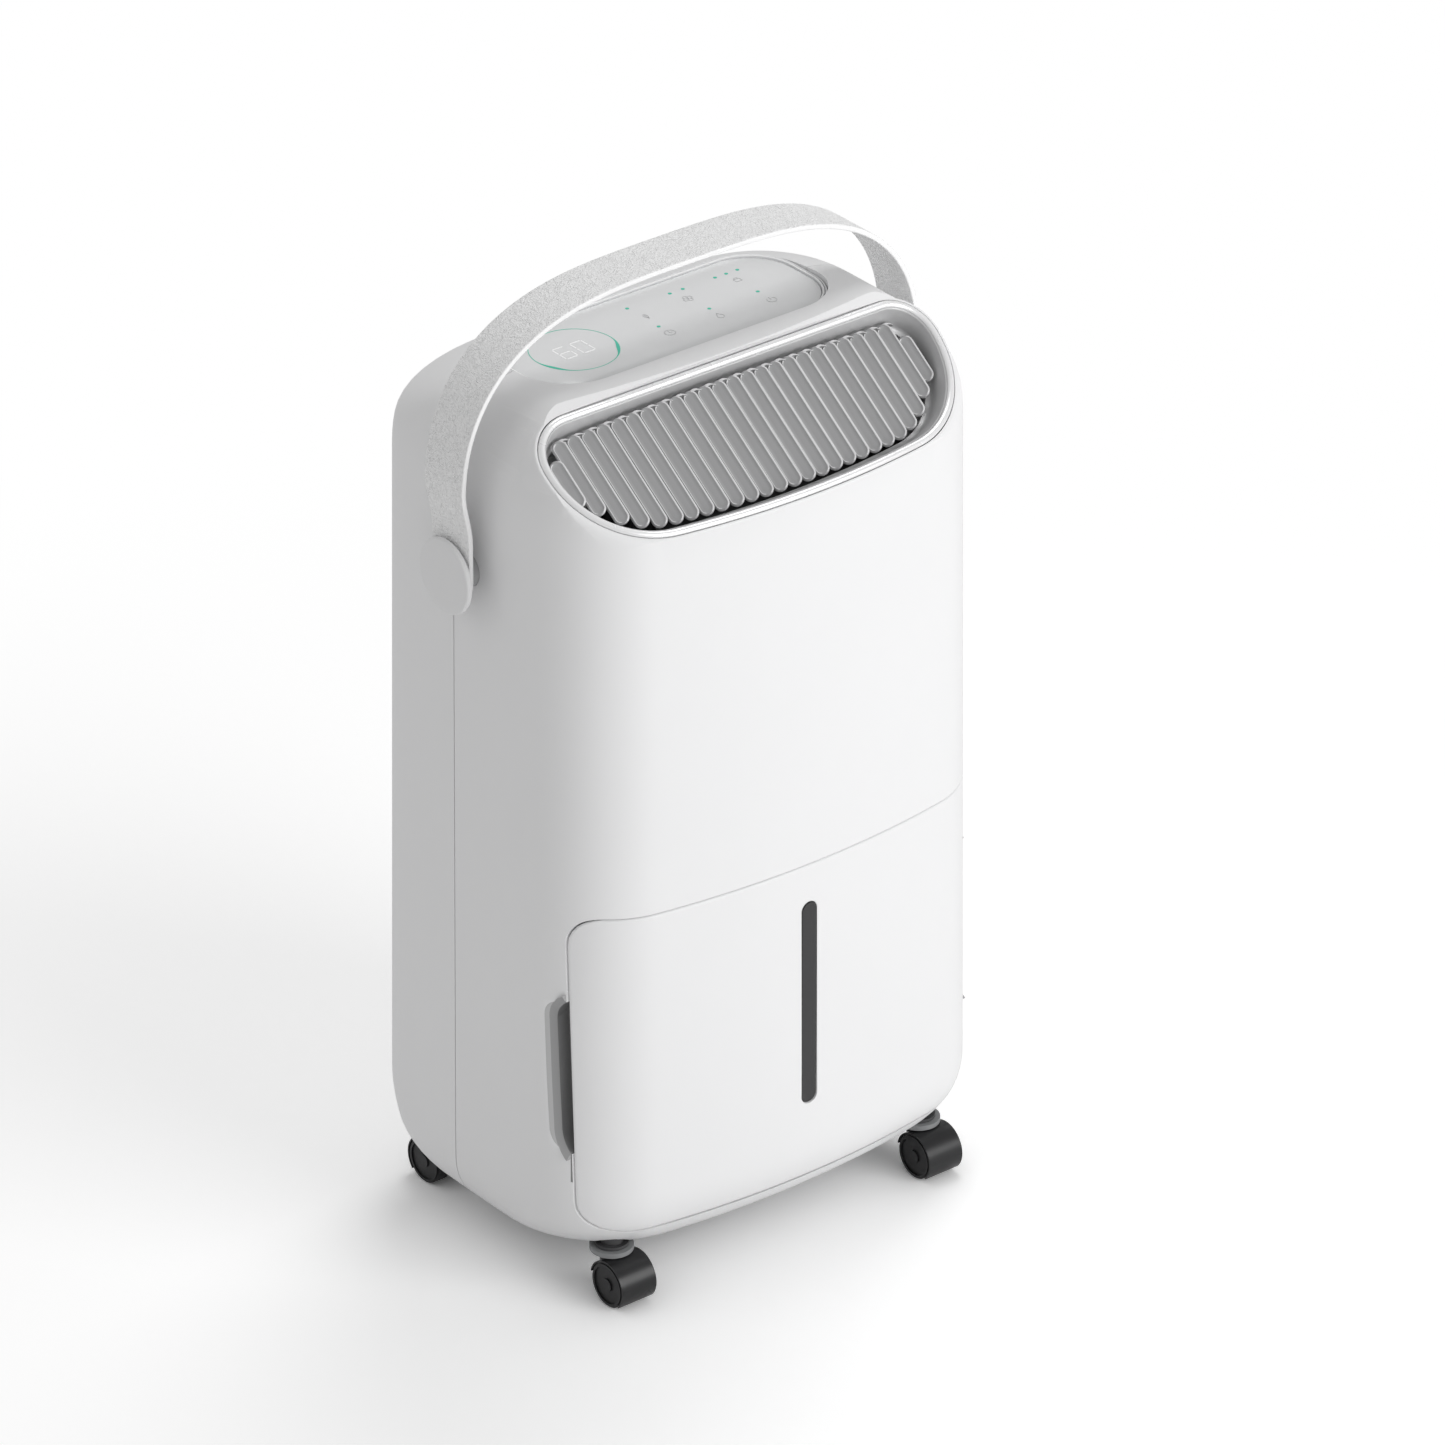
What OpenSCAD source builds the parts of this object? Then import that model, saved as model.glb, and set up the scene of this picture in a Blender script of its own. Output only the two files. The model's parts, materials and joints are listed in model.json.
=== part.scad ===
// Portable household dehumidifier with a strap handle, slide-out tank and casters.
// Front faces -Y, left and right are -X and +X, the floor is z = 0. Sizes in mm.

/* [Body shell] */
// Width of the body at its widest level
base_w = 306; // [270:1:360]
// Depth of the body at its deepest level
base_d = 227; // [200:1:270]
// Height of the underside of the shell above the floor
body_bottom = 22.6; // [20:0.2:40]
// Height of the top of the body above the floor
body_top = 558; // [480:1:640]
// Wall thickness of the moulded shells
wall = 2.6; // [2:0.1:4]
// Sideways run of the walls for each unit of height
draft = 0.01; // [0:0.001:0.02]
// Plan radius of the front corners
front_corner_r = 57; // [40:1:70]
// Plan radius of the rear corners
rear_corner_r = 38; // [25:1:50]
// Plan radius of the bulged front face
front_bulge_r = 600; // [450:10:1200]
// Depth at which the front and rear shells meet, measured from the middle
seam_y = 25.5; // [15:0.5:40]

/* [Sloped outlet] */
// Where the sloped outlet face meets the top, measured from the middle
slope_y = -32; // [-45:1:-20]
// Angle of the outlet face below level
slope_angle = 38.7; // [30:0.1:45]
// Radius of the sideways arch of the outlet face
slope_arch_r = 1240; // [900:10:2000]
// Width of the outlet over its trim ring
outlet_w = 283; // [240:1:288]
// Length of the outlet down the slope
outlet_l = 96.7; // [80:0.1:98]
// Number of full louvre blades
blade_count = 24; // [16:2:30]
// Spacing of the louvre blades
blade_pitch = 10.15; // [8:0.05:11]
// Twist of each blade about its long axis
blade_tilt = 33; // [15:1:45]
// Lean of the blades to the side, seen square to the outlet
blade_lean = 3; // [0:0.5:6]

/* [Control panel] */
// Width of the touch panel
panel_w = 204; // [160:1:220]
// Depth of the touch panel
panel_d = 78; // [60:1:90]
// Middle of the touch panel, measured from the middle of the body
panel_y = 27; // [20:1:35]
// Height of the touch panel surface
panel_z = 554; // [470:0.5:636]
// Sideways position of the round display
display_x = -60; // [-70:1:-40]
// Depth position of the round display
display_y = 29; // [20:1:36]
// Radius of the lit ring of the display
display_r = 25.5; // [20:0.5:28]

/* [Tank] */
// Height of the lower edge of the tank front
tank_z0 = 50; // [46:1:60]
// Height of the upper edge of the tank front
tank_z1 = 261; // [220:1:270]
// Width of the water tub
tub_w = 254; // [200:1:262]
// Width of the water level window
window_w = 11.5; // [8:0.5:16]
// Height of the water level window
window_h = 134; // [100:1:150]
// Height of the middle of the water level window
window_z = 170; // [150:1:185]
// Furthest the tank is drawn out in normal use
tank_travel = 150; // [100:5:180]

/* [Handle] */
// Height of the handle pivots
pivot_z = 451; // [420:1:470]
// Depth position of the handle pivots
pivot_y = 12.4; // [0:0.1:20]
// Width of the strap
strap_w = 35; // [25:1:45]
// Thickness of the strap
strap_t = 3.2; // [2:0.1:5]
// Clearance between the body and the strap ends
strap_clear = 8.8; // [5:0.1:20]
// Rise of the strap above its pivots
strap_rise = 154; // [140:1:180]
// Diameter of the round caps on the strap ends
cap_d = 46; // [36:1:56]

/* [Casters] */
// Diameter of the caster wheels
wheel_d = 28; // [24:1:32]
// Width over both wheels of a caster
wheel_span = 25; // [20:1:30]
// Distance from the middle to the caster stems, sideways
caster_x = 115; // [100:1:118]
// Depth position of the front caster stems
caster_front_y = -73; // [-85:1:-60]
// Depth position of the rear caster stems
caster_rear_y = 81; // [60:1:84]
// Offset of the wheel axle from the stem
caster_trail = 11; // [8:1:14]

/* [Fan and cooling circuit] */
// Diameter of the fan wheel
fan_d = 150; // [120:2:170]
// Axial width of the fan wheel
fan_w = 44; // [30:1:50]
// Height of the fan axis
fan_z = 372; // [350:1:400]
// Number of fan blades
fan_blades = 28; // [20:2:40]
// Number of cooling fins shown on each coil
fin_count = 21; // [11:2:31]
// Diameter of the compressor
compressor_d = 72; // [60:1:74]

/* [Hidden] */
half_w = base_w / 2;
half_d = base_d / 2;
tank_edge = [34.5 - half_d, 41.5 - half_d];
widest_z = 75;
strap_half = half_w + draft * (widest_z - pivot_z) + strap_clear + strap_t / 2;
low_side = [30.5, 35.3];
low_front = [56, 53.4];
low_rear = [53.7, 63.9];
top_side = [39, 61];
top_rear = [62.4, 45.9];
low_spread = [0.89, 0.25];
top_spread = 1.0;
front_steps = 4;
corner_steps = 7;
rear_steps = 6;
arch_steps = 24;
outlet_low_r = 700;
outlet_corner_r = 62;
outlet_top_r = 27;
outlet_top = -1;
blade_r = 4.6;
blade_top = -11.2;
end_blade = [-52.5, -21.5];
shoulder = [[0.6, -17.5], [-4, -17.5], [-3.6, -10], [-2.9, -4], [-2.2, -0.8], [-1.3, 0], [-1.3, 1.5],
    [1, 1.5]];
edge_round = [[-1.3, 2], [-1.3, 0], [-3.4, -0.6], [-5.2, -1.8], [-6.8, -3.6], [-8.4, -6], [-12.4, -10.4],
    [-30, -28], [-30, 2]];
run_gap = 0.06;
fit_gap = 0.3;
seam_gap = 0.5;
wheel_r = wheel_d / 2;
pin_r = 4;
lobe_r = 13;
axle_r = 2;
deck_z = 262;
riser_x = 124;
screw_y = half_d - 4.5;
coil_y = half_d - 57;
compressor_y = coil_y + 7.5;
bay_w = tub_w + 8;
bay_z = 50;
bay_back = compressor_y - compressor_d / 2 - 6;
tub_top = 244;
tub_front = 12.5 - half_d;
tub_back = bay_back - 7;
fan_y = coil_y - 34.5;
motor_front = fan_y - 84;
coil_x = 104;
coil_z0 = 290;
coil_z1 = 474;
base_z = 29.9;
base_t = 3;
grille_depth = 20;
white = [0.94, 0.94, 0.94];
silver = [0.78, 0.79, 0.8];
satin = [0.62, 0.63, 0.64];
grey = [0.35, 0.36, 0.37];
black = [0.05, 0.05, 0.055];
copper = [0.72, 0.42, 0.24];

$fn = 64;

// ---------- lofted body form ----------

// Inward run of an elliptical edge, u deep into a zone b high and a wide
function edge_run(u, size) = let (t = max(0, min(1, u / size[1])))
    size[0] * (1 - sqrt(1 - t * t));

function lean(z) = draft * (widest_z - max(z, widest_z));

function low_run(z, size) = edge_run(body_bottom + size[1] - z, size);

function top_run(z, size) = edge_run(z - body_top + size[1], size);

// Points of one arc, from angle a0 to a1, angle 0 pointing to the front
function arc_points(c, r, a0, a1, n, first) =
    [for (i = [first:n]) let (a = a0 + (a1 - a0) * i / n) [c[0] + r * sin(a), c[1] - r * cos(a)]];

// Half width, front, rear, front corner radius and rear corner radius at height z
function level(z) = let (
    low = [low_run(z, low_side), low_run(z, low_front), low_run(z, low_rear)],
    top = [top_run(z, top_side), top_run(z, top_rear)],
    front = -half_d - lean(z) + low[1],
    rear = half_d + lean(z) - low[2] - top[1],
    rear_r = rear_corner_r + low_spread[1] * (low[0] + low[2]) / 2 + top_spread * (top[0] + top[1]) / 2,
    front_r = min(front_corner_r + low_spread[0] * (low[0] + low[1]) / 2, rear - front - rear_r - 8))
    [half_w + lean(z) - low[0] - top[0], front, rear, front_r, rear_r];

// Middle of the front corner arc of a level
function corner_centre(v) = let (cx = v[0] - v[3])
    [cx, v[1] + front_bulge_r - sqrt(pow(front_bulge_r - v[3], 2) - cx * cx)];

// Right half of the plan outline at height z, set in by t
function half_section(z, t) = let (v = level(z), c = corner_centre(v),
    bulge = [0, v[1] + front_bulge_r], a1 = atan2(c[0], bulge[1] - c[1]))
    concat(arc_points(bulge, front_bulge_r - t, 0, a1, front_steps, 0),
        arc_points(c, v[3] - t, a1, 90, corner_steps, 1),
        arc_points([v[0] - v[4], v[2] - v[4]], v[4] - t, 90, 180, rear_steps, 0));

// A half outline joined to its mirror image
function whole(h) = concat(h, [for (i = [len(h) - 1:-1:1]) [-h[i][0], h[i][1]]]);

function full_section(z, t) = whole(half_section(z, t));

// Simpler plan that fits inside the body at height z, set in by t
module level_plan(z, t) {
    v = level(z);
    c = corner_centre(v);
    intersection() {
        round_plan(v[0] - t, c[1] - v[3] + t, v[2] - t, v[3] - t, v[4] - t);
        translate([-v[0], v[1]]) square([2 * v[0], v[2] - t - v[1]]);
    }
}

// Heights of the loft, close together where the edges are rounded
function loft_levels() = let (low = low_rear[1], high = max(top_side[1], top_rear[1]))
    concat([for (u = [0, 0.02, 0.06, 0.13, 0.23, 0.36, 0.52, 0.74, 1]) body_bottom + u * low],
        [for (u = [1, 0.7, 0.48, 0.31, 0.18, 0.09, 0.03, 0]) body_top - u * high]);

// The closed body form, set in by t all round
module body_form(t = 0) {
    levels = loft_levels();
    span = body_top - body_bottom;
    n = len(full_section(levels[0], t));
    points = [for (z = levels) let (zi = body_bottom + t + (z - body_bottom) * (span - 2 * t) / span)
        for (p = full_section(z, t)) [p[0], p[1], zi]];
    last = len(levels) - 1;
    faces = concat([[for (i = [0:n - 1]) i]],
        [for (k = [0:last - 1], i = [0:n - 1]) let (a = k * n + i, b = k * n + (i + 1) % n)
            each [[a, a + n, b + n], [a, b + n, b]]],
        [[for (i = [n - 1:-1:0]) last * n + i]]);
    polyhedron(points, faces, convexity = 4);
}

// Places children in the frame of the outlet face: x sideways, -y down the slope, z outwards
module on_slope() {
    translate([0, slope_y, body_top]) rotate([slope_angle, 0, 0]) children();
}

// Everything outside the arched outlet face, which lies t inside its true place
module above_slope(t = 0) {
    r = slope_arch_r - t;
    half = asin(200 / slope_arch_r);
    arch = [for (i = [-arch_steps:arch_steps]) let (a = half * i / arch_steps)
        [r * sin(a), r * cos(a) - slope_arch_r]];
    on_slope() translate([0, 170, 0]) rotate([90, 0, 0]) linear_extrude(430)
        polygon(concat(arch, [[200, 200], [-200, 200]]));
}

// The part of the body form under the outlet face
module body_solid(t = 0) {
    difference() {
        body_form(t);
        above_slope(t);
    }
}

// A layer that follows the arched outlet face, from height z0 to z1 above it
module slope_layer(z0, z1) {
    on_slope() translate([0, 160, -slope_arch_r]) rotate([90, 0, 0]) difference() {
        cylinder(r = slope_arch_r + z1, h = 420, $fn = 480);
        translate([0, 0, -1]) cylinder(r = slope_arch_r + z0, h = 422, $fn = 480);
    }
}

// Outline of the outlet on its face, set in by t: bulged lower edge, straight top edge
function outlet_outline(t) = let (
    w = outlet_w / 2,
    low = [0, -outlet_l + outlet_low_r],
    cx = w - outlet_corner_r,
    cy = low[1] - sqrt(pow(outlet_low_r - outlet_corner_r, 2) - cx * cx),
    a1 = atan2(cx, low[1] - cy))
    whole(concat(arc_points(low, outlet_low_r - t, 0, a1, 7, 0),
        arc_points([cx, cy], outlet_corner_r - t, a1, 90, 9, 1),
        arc_points([w - outlet_top_r, outlet_top - outlet_top_r], outlet_top_r - t, 90, 180, 7, 0)));

// Ring swept round the outlet outline; its section lists the set-in and the height above the face
module outlet_sweep(section) {
    points = [for (s = section) for (p = outlet_outline(s[0])) [p[0], p[1], s[1] - slope_drop(p[0])]];
    m = len(section);
    n = len(points) / m;
    faces = [for (k = [0:m - 1], i = [0:n - 1]) let (a = k * n, b = (k + 1) % m * n, j = (i + 1) % n)
        each [[a + i, b + j, a + j], [a + i, b + i, b + j]]];
    on_slope() polyhedron(points, faces, convexity = 6);
}

// Rounds the edge of the outlet face below and beside the trim ring
module outlet_edge_cut() {
    difference() {
        outlet_sweep(edge_round);
        on_slope() translate([-200, -30, -60]) cube([400, 120, 100]);
    }
}

// Upright block over the outlet outline set in by t
module outlet_zone(t) {
    on_slope() translate([0, 0, -70]) linear_extrude(100) polygon(outlet_outline(t));
}

// ---------- helpers ----------

// Plan outline with front and rear corner radii, built from squares and circles
module round_plan(x, y0, y1, rf, rb) {
    for (s = [-1, 1]) {
        translate([s * (x - rf), y0 + rf]) circle(rf);
        translate([s * (x - rb), y1 - rb]) circle(rb);
    }
    polygon([[-x, y0 + rf], [-x + rf, y0], [x - rf, y0], [x, y0 + rf],
        [x, y1 - rb], [x - rb, y1], [-x + rb, y1], [-x, y1 - rb]]);
}

module round_box(size, r) {
    linear_extrude(size[2]) round_plan(size[0] / 2, -size[1] / 2, size[1] / 2, r, r);
}

module mirror_x() {
    children();
    mirror([1, 0, 0]) children();
}

// Side view of the tank front: leaning rear edges with round corners, set out by t
module tank_side(t) {
    r0 = 24;
    r1 = 13;
    y0 = tank_edge[0] + t;
    y1 = tank_edge[1] + t;
    polygon([[-150, tank_z0 - t], [y0 - r0, tank_z0 - t], [y0, tank_z0 - t + r0],
        [y1, tank_z1 + t - r1], [y1 - r1, tank_z1 + t], [-150, tank_z1 + t]]);
    translate([y0 - r0, tank_z0 - t + r0]) circle(r0);
    translate([y1 - r1, tank_z1 + t - r1]) circle(r1);
}

module tank_region(t) {
    rotate([90, 0, 90]) translate([0, 0, -200]) linear_extrude(400) tank_side(t);
}

// Side view of the finger recess beside the tank front
module recess_side() {
    polygon([[-23, 101], [3, 101], [17, 115], [17, 202], [11, 209], [-23, 209]]);
    translate([3, 115]) circle(14);
    translate([11, 203]) circle(6);
}

module caster_places() {
    for (y = [caster_front_y, caster_rear_y]) mirror_x() translate([caster_x, y, 0]) children();
}

// Opening in the underside for the base plate, and wells that let the casters swivel
module skirt_opening() {
    top = base_z + base_t + fit_gap;
    linear_extrude(top) round_plan(119, -54, 58, 30, 12);
    caster_places() {
        cylinder(r = caster_trail + wheel_r + 4.4, h = top);
        cylinder(r = 10.6, h = top + 18);
    }
}

// ---------- shells and frame ----------

module front_shell() {
    color(white) difference() {
        union() {
            difference() {
                body_solid();
                body_solid(wall);
            }
            panel_ledge();
            outlet_sweep(shoulder);
            mirror_x() translate([half_w, tank_edge[1], 96]) linear_extrude(118)
                polygon([[-15, 0.7], [-4.6, 0.7], [-2.8, 10], [-2.8, 20.5], [-15, 20.5]]);
        }
        above_slope();
        outlet_edge_cut();
        translate([-200, seam_y - seam_gap / 2, 0]) cube([400, 200, 700]);
        tank_region(0.7);
        outlet_zone(-0.3);
        panel_pocket(0.25);
        mirror_x() intersection() {
            translate([half_w, tank_edge[1], 60]) linear_extrude(190)
                polygon([[17, 17], [-2.5, 17], [-12.5, 6], [-12.5, -18], [17, -18]]);
            rotate([90, 0, 90]) translate([tank_edge[1], 0, 0]) linear_extrude(half_w + 17) recess_side();
        }
        skirt_opening();
        handle_bores();
    }
}

module rear_shell() {
    color(white) difference() {
        union() {
            difference() {
                body_form();
                body_form(wall);
            }
            panel_ledge();
            shell_screw_places() translate([0, 0, -2.9]) cylinder(r = 7, h = 5);
        }
        translate([-200, seam_y + seam_gap / 2 - 200, 0]) cube([400, 200, 700]);
        panel_pocket(0.25);
        skirt_opening();
        translate([0, 150, coil_z0 - 5.7]) rotate([90, 0, 0])
            linear_extrude(70) round_plan(coil_x + 5.7, 0, coil_z1 - coil_z0 + 11.4, 13.7, 13.7);
        translate([70, 130, 96]) rotate([90, 0, 0]) cylinder(r = 8.3, h = 40);
        translate([-78, 130, 104]) rotate([90, 0, 0]) cylinder(r = 9.3, h = 40);
        for (z = [150:12:234]) translate([-60, 100, z]) cube([120, 20, 4.5]);
        shell_screw_places() {
            cylinder(r = 4.2, h = 20);
            translate([0, 0, -10]) cylinder(r = 2.3, h = 40);
        }
    }
}

// Screws go in from the rear, into bosses under the deck
module shell_screw_places() {
    for (x = [-112, -45, 45, 112]) translate([x, screw_y, deck_z - 6]) rotate([-90, 0, 0]) children();
}

module handle_bores() {
    translate([-200, pivot_y, pivot_z]) rotate([0, 90, 0]) cylinder(r = 11, h = 400);
}

// Base plate with ribs and a lobe at each caster
module base_plate() {
    color(grey) difference() {
        union() {
            translate([0, 0, base_z]) linear_extrude(base_t) {
                level_plan(base_z - wall - 0.8, wall + fit_gap);
                for (s = [-1, 1]) {
                    translate([s * caster_x, caster_front_y]) circle(lobe_r);
                    translate([s * caster_x, caster_rear_y]) circle(lobe_r);
                    polygon([[s * 123, -68], [s * 106.5, -78], [s * 74, -24], [s * 90, -14]]);
                }
            }
            for (y = [-44, -18, 8, 34]) translate([-100, y, base_z - 5]) cube([200, 2.4, 5.1]);
            mirror_x() {
                for (x = [-88, -30]) translate([x, -50, base_z - 5]) cube([2.4, 104, 5.1]);
                for (y = [22, 29, 36, 43]) translate([-118, y, 15]) cube([12, 2.6, base_z - 14.9]);
                translate([-113, 22, 20]) cube([2.4, 23.6, base_z - 19.9]);
            }
            for (p = compressor_feet()) translate([p[0], p[1], base_z + base_t - 0.1]) cylinder(r = 8, h = 5.1);
        }
        caster_places() cylinder(r = 7.3, h = 50);
        for (p = compressor_feet()) translate([p[0], p[1], 26]) cylinder(r = 2.2, h = 16);
    }
}

// Grey sleeve that receives each caster stem, with a collar on the base plate
module caster_sockets() {
    top = base_z + base_t + fit_gap;
    color(grey) caster_places() difference() {
        union() {
            translate([0, 0, base_z]) cylinder(r = 7, h = 17);
            translate([0, 0, top]) cylinder(r = 10, h = 2);
        }
        translate([0, 0, base_z - 4]) cylinder(r = pin_r + run_gap, h = 18);
    }
}

// Liner round the tank; its top is the deck that carries the upper parts
module tank_bay() {
    x = bay_w / 2;
    color(satin) difference() {
        union() {
            translate([0, 0, bay_z - 2]) difference() {
                linear_extrude(deck_z - bay_z + 2) intersection() {
                    round_plan(x + 2, -150, bay_back + 2, 20, 6);
                    translate([-200, tank_edge[1]]) square([400, 200]);
                }
                translate([0, 0, -1]) linear_extrude(deck_z) round_plan(x, -190, bay_back, 20, 4);
            }
            translate([-x - 1, tank_edge[1], bay_z - 2]) cube([2 * x + 2, bay_back + 1 - tank_edge[1], 2]);
            for (x = [-102, 90], y = [-44, 8]) translate([x, y, base_z + base_t + fit_gap])
                cube([12, 12, bay_z - 1 - base_z - base_t - fit_gap]);
            translate([0, 0, deck_z - 3]) linear_extrude(3) intersection() {
                level_plan(deck_z, wall + fit_gap);
                translate([-200, tank_edge[1] + 4]) square([400, screw_y - 7 - tank_edge[1] - 4]);
            }
            shell_screw_places() translate([0, 0, -20]) cylinder(r = 5, h = 16.8);
            translate([-level(deck_z)[0] + wall + fit_gap, tank_edge[1] + 24, 60])
                cube([2 * (level(deck_z)[0] - wall - fit_gap), 2, deck_z - 61]);
        }
        translate([0, -200, bay_z]) translate([-x, 0, 0]) cube([2 * x, 200 + bay_back, deck_z - 3 - bay_z]);
        translate([0, 6, deck_z - 10]) cylinder(r = 9, h = 20);
        mirror_x() translate([riser_x, compressor_y + 2, deck_z - 10]) cylinder(r = 9, h = 20);
        shell_screw_places() translate([0, 0, -16]) cylinder(r = 1.95, h = 20);
    }
}

// ---------- outlet ----------

module grille_ring() {
    color(silver) intersection() {
        difference() {
            outlet_zone(0);
            outlet_zone(4.6);
        }
        slope_layer(-4, 0.9);
    }
}

module grille_dish() {
    color(satin) difference() {
        union() {
            intersection() {
                outlet_zone(4.9);
                slope_layer(-grille_depth, -0.4);
            }
            intersection() {
                outlet_zone(1);
                slope_layer(-6.8, -4.3);
            }
        }
        intersection() {
            outlet_zone(7.2);
            slope_layer(-grille_depth + 2.4, 10);
        }
        intersection() {
            outlet_zone(19);
            slope_layer(-grille_depth - 5, 0);
        }
        for (i = [-13:13]) on_slope() translate([i * 8 - 2.5, -18, -grille_depth - 5]) cube([5, 8, 9]);
    }
}

// Lower end of the blade at x, kept clear of the outlet wall
function blade_end(x) = let (r = outlet_corner_r - 10, cx = outlet_w / 2 - outlet_corner_r)
    -outlet_l + 11 + x * x / 1500 + (abs(x) < cx ? 0 : r - sqrt(r * r - pow(abs(x) - cx, 2)));

function slope_drop(x) = x * x / (2 * slope_arch_r);

// One blade, its lower tip at x and y on the slope, its upper tip at blade_top
module blade(x, y, top) {
    length = (top - y) / cos(blade_lean);
    on_slope() translate([x, y, -10.5 - slope_drop(x)]) rotate([0, 0, blade_lean]) rotate([0, -blade_tilt, 0])
        linear_extrude(2.4, center = true) {
            translate([-blade_r, blade_r]) square([2 * blade_r, length - 2 * blade_r]);
            translate([0, blade_r]) circle(blade_r);
            translate([0, length - blade_r]) circle(blade_r);
        }
}

module grille_slats() {
    half = (blade_count - 1) / 2;
    color(satin) {
        for (i = [-half:half]) let (x = i * blade_pitch) blade(x, blade_end(x), blade_top);
        for (s = [-1, 1]) blade(s * ((half + 1) * blade_pitch - 1.5), end_blade[0], end_blade[1]);
        intersection() {
            on_slope() for (y = [-26, -52]) translate([-150, y, -30]) cube([300, 2.4, 40]);
            slope_layer(-17.4, -13);
            outlet_zone(7.5);
        }
    }
}

// ---------- control panel ----------

module panel_plan(t) {
    round_plan(panel_w / 2 + t, panel_y - panel_d / 2 - t, panel_y + panel_d / 2 + t, 30 + t, 30 + t);
}

// Room cut in the top of the shells for the bezel
module panel_pocket(gap) {
    translate([0, 0, panel_z - 7.3]) linear_extrude(30) panel_plan(3.4 + gap);
    translate([0, 0, panel_z - 20]) linear_extrude(30) panel_plan(-8);
}

// Ledge inside the shells on which the bezel sits, hung from their top wall
module panel_ledge() {
    translate([0, 0, panel_z - 9.8]) linear_extrude(7) panel_plan(6.4);
    translate([-75, panel_y - panel_d / 2 - 6.4, panel_z - 9]) cube([150, 10, 11]);
    mirror_x() translate([panel_w / 2 - 4, 0, panel_z - 9]) cube([10.4, 20, 11]);
}

// Two-stepped tray that frames the touch panel
module panel_bezel() {
    color(silver) difference() {
        translate([0, 0, panel_z - 7]) linear_extrude(8.2) panel_plan(3.4);
        translate([0, 0, panel_z + 0.4]) linear_extrude(9) panel_plan(1.6);
        translate([0, 0, panel_z - 2.4]) linear_extrude(9) panel_plan(fit_gap);
        translate([0, 0, panel_z - 5]) linear_extrude(9) panel_plan(-3);
        translate([0, panel_y, panel_z - 10]) linear_extrude(9) round_plan(60, -14, 14, 4, 4);
    }
}

module touch_panel() {
    color(silver) difference() {
        translate([0, 0, panel_z - 2.4]) linear_extrude(2.4) panel_plan(0);
        translate([display_x, display_y, panel_z - 0.6]) linear_extrude(2) difference() {
            circle(display_r + 0.9);
            circle(display_r - 0.9);
        }
        for (p = led_places()) translate([p[0], p[1], panel_z - 0.6]) cylinder(r = 1.4, h = 2, $fn = 24);
    }
}

// Lit ring round the humidity figures
module display_ring() {
    color([0.1, 0.62, 0.52]) translate([display_x, display_y, panel_z - 0.5]) linear_extrude(0.7) difference() {
        circle(display_r + 0.7);
        circle(display_r - 0.7);
    }
}

// Middles of the indicator lights, two rows
function led_places() = let (y1 = panel_y + 24.2, y2 = panel_y - 4.8)
    [[-4.6, y1], [26.3, y1], [35.7, y1], [59.2, y1], [67.3, y1], [75.5, y1], [-4.6, y2], [32, y2],
        [67.3, y2]];

module status_leds() {
    color([0.1, 0.62, 0.52]) for (p = led_places())
        translate([p[0], p[1], panel_z - 0.5]) cylinder(r = 1.3, h = 0.7, $fn = 24);
}

// One seven-segment figure, 8 wide and 14 high; on lists the lit segments
module figure(on) {
    bars = [[0, 13, 8, 1.4], [6.6, 7, 1.4, 7], [6.6, 0, 1.4, 7.4], [0, 0, 8, 1.4],
        [0, 0, 1.4, 7.4], [0, 7, 1.4, 7], [0, 6.5, 8, 1.4]];
    for (k = on) translate([bars[k][0], bars[k][1]]) square([bars[k][2], bars[k][3]]);
}

module display_digits() {
    color([1, 1, 1]) translate([display_x - 10, display_y - 7, panel_z]) linear_extrude(0.4) {
        figure([0, 2, 3, 4, 5, 6]);
        translate([12, 0]) figure([0, 1, 2, 3, 4, 5]);
    }
}

module control_board() {
    color([0.1, 0.35, 0.2]) {
        translate([0, panel_y, panel_z - 12.8]) difference() {
            round_box([150, 34, 1.6], 3);
            for (x = [-70, 70]) translate([x, 0, -1]) cylinder(r = 1.8, h = 4);
        }
        for (x = [-70, 70]) translate([x, panel_y, panel_z - 11.2]) difference() {
            cylinder(r = 3, h = 4.2);
            translate([0, 0, -1]) cylinder(r = 1.4, h = 5);
        }
        translate([-50, panel_y - 8, panel_z - 18]) cube([22, 16, 5.3]);
        translate([10, panel_y - 10, panel_z - 20.5]) cube([15, 12, 7.8]);
    }
}

// ---------- cooling circuit ----------

// Tray under the coils, with a spout over the tank inlet
module drip_tray() {
    y0 = coil_y - 2.5;
    y1 = coil_y + 46.5;
    color(satin) {
        translate([0, 0, deck_z]) difference() {
            union() {
                linear_extrude(20) round_plan(112, y0, y1, 4, 4);
                linear_extrude(12) translate([-14, -8]) square([28, y0 + 10]);
                translate([0, 6, -6]) cylinder(r = 8, h = 7);
            }
            translate([0, 0, 2.2]) linear_extrude(30) round_plan(110, y0 + 2, y1 - 2, 3, 3);
            translate([-12, -6, 2.2]) cube([24, y0 + 10, 30]);
            translate([0, 6, -10]) cylinder(r = 5.5, h = 20);
        }
    }
}

// Finned coil: plates threaded on straight tubes between two end plates
module coil(y0, depth) {
    pitch = 2 * (coil_x - 10) / (fin_count - 1);
    rows = 7;
    for (i = [0:fin_count - 1]) let (t = (i == 0 || i == fin_count - 1) ? 1.6 : 0.8)
        let (z0 = t > 1 ? deck_z + 2.5 : coil_z0)
            translate([-coil_x + 10 + i * pitch - t / 2, y0, z0]) cube([t, depth, coil_z1 - z0]);
    for (k = [0:rows - 1]) translate([-coil_x + 4, y0 + depth / 2, coil_row(k)]) rotate([0, 90, 0])
        cylinder(r = 3.5, h = 2 * coil_x - 8, $fn = 32);
}

function coil_row(k) = coil_z0 + 14 + k * 26;

module evaporator() {
    color(silver) coil(coil_y + 21.5, 20);
}

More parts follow.
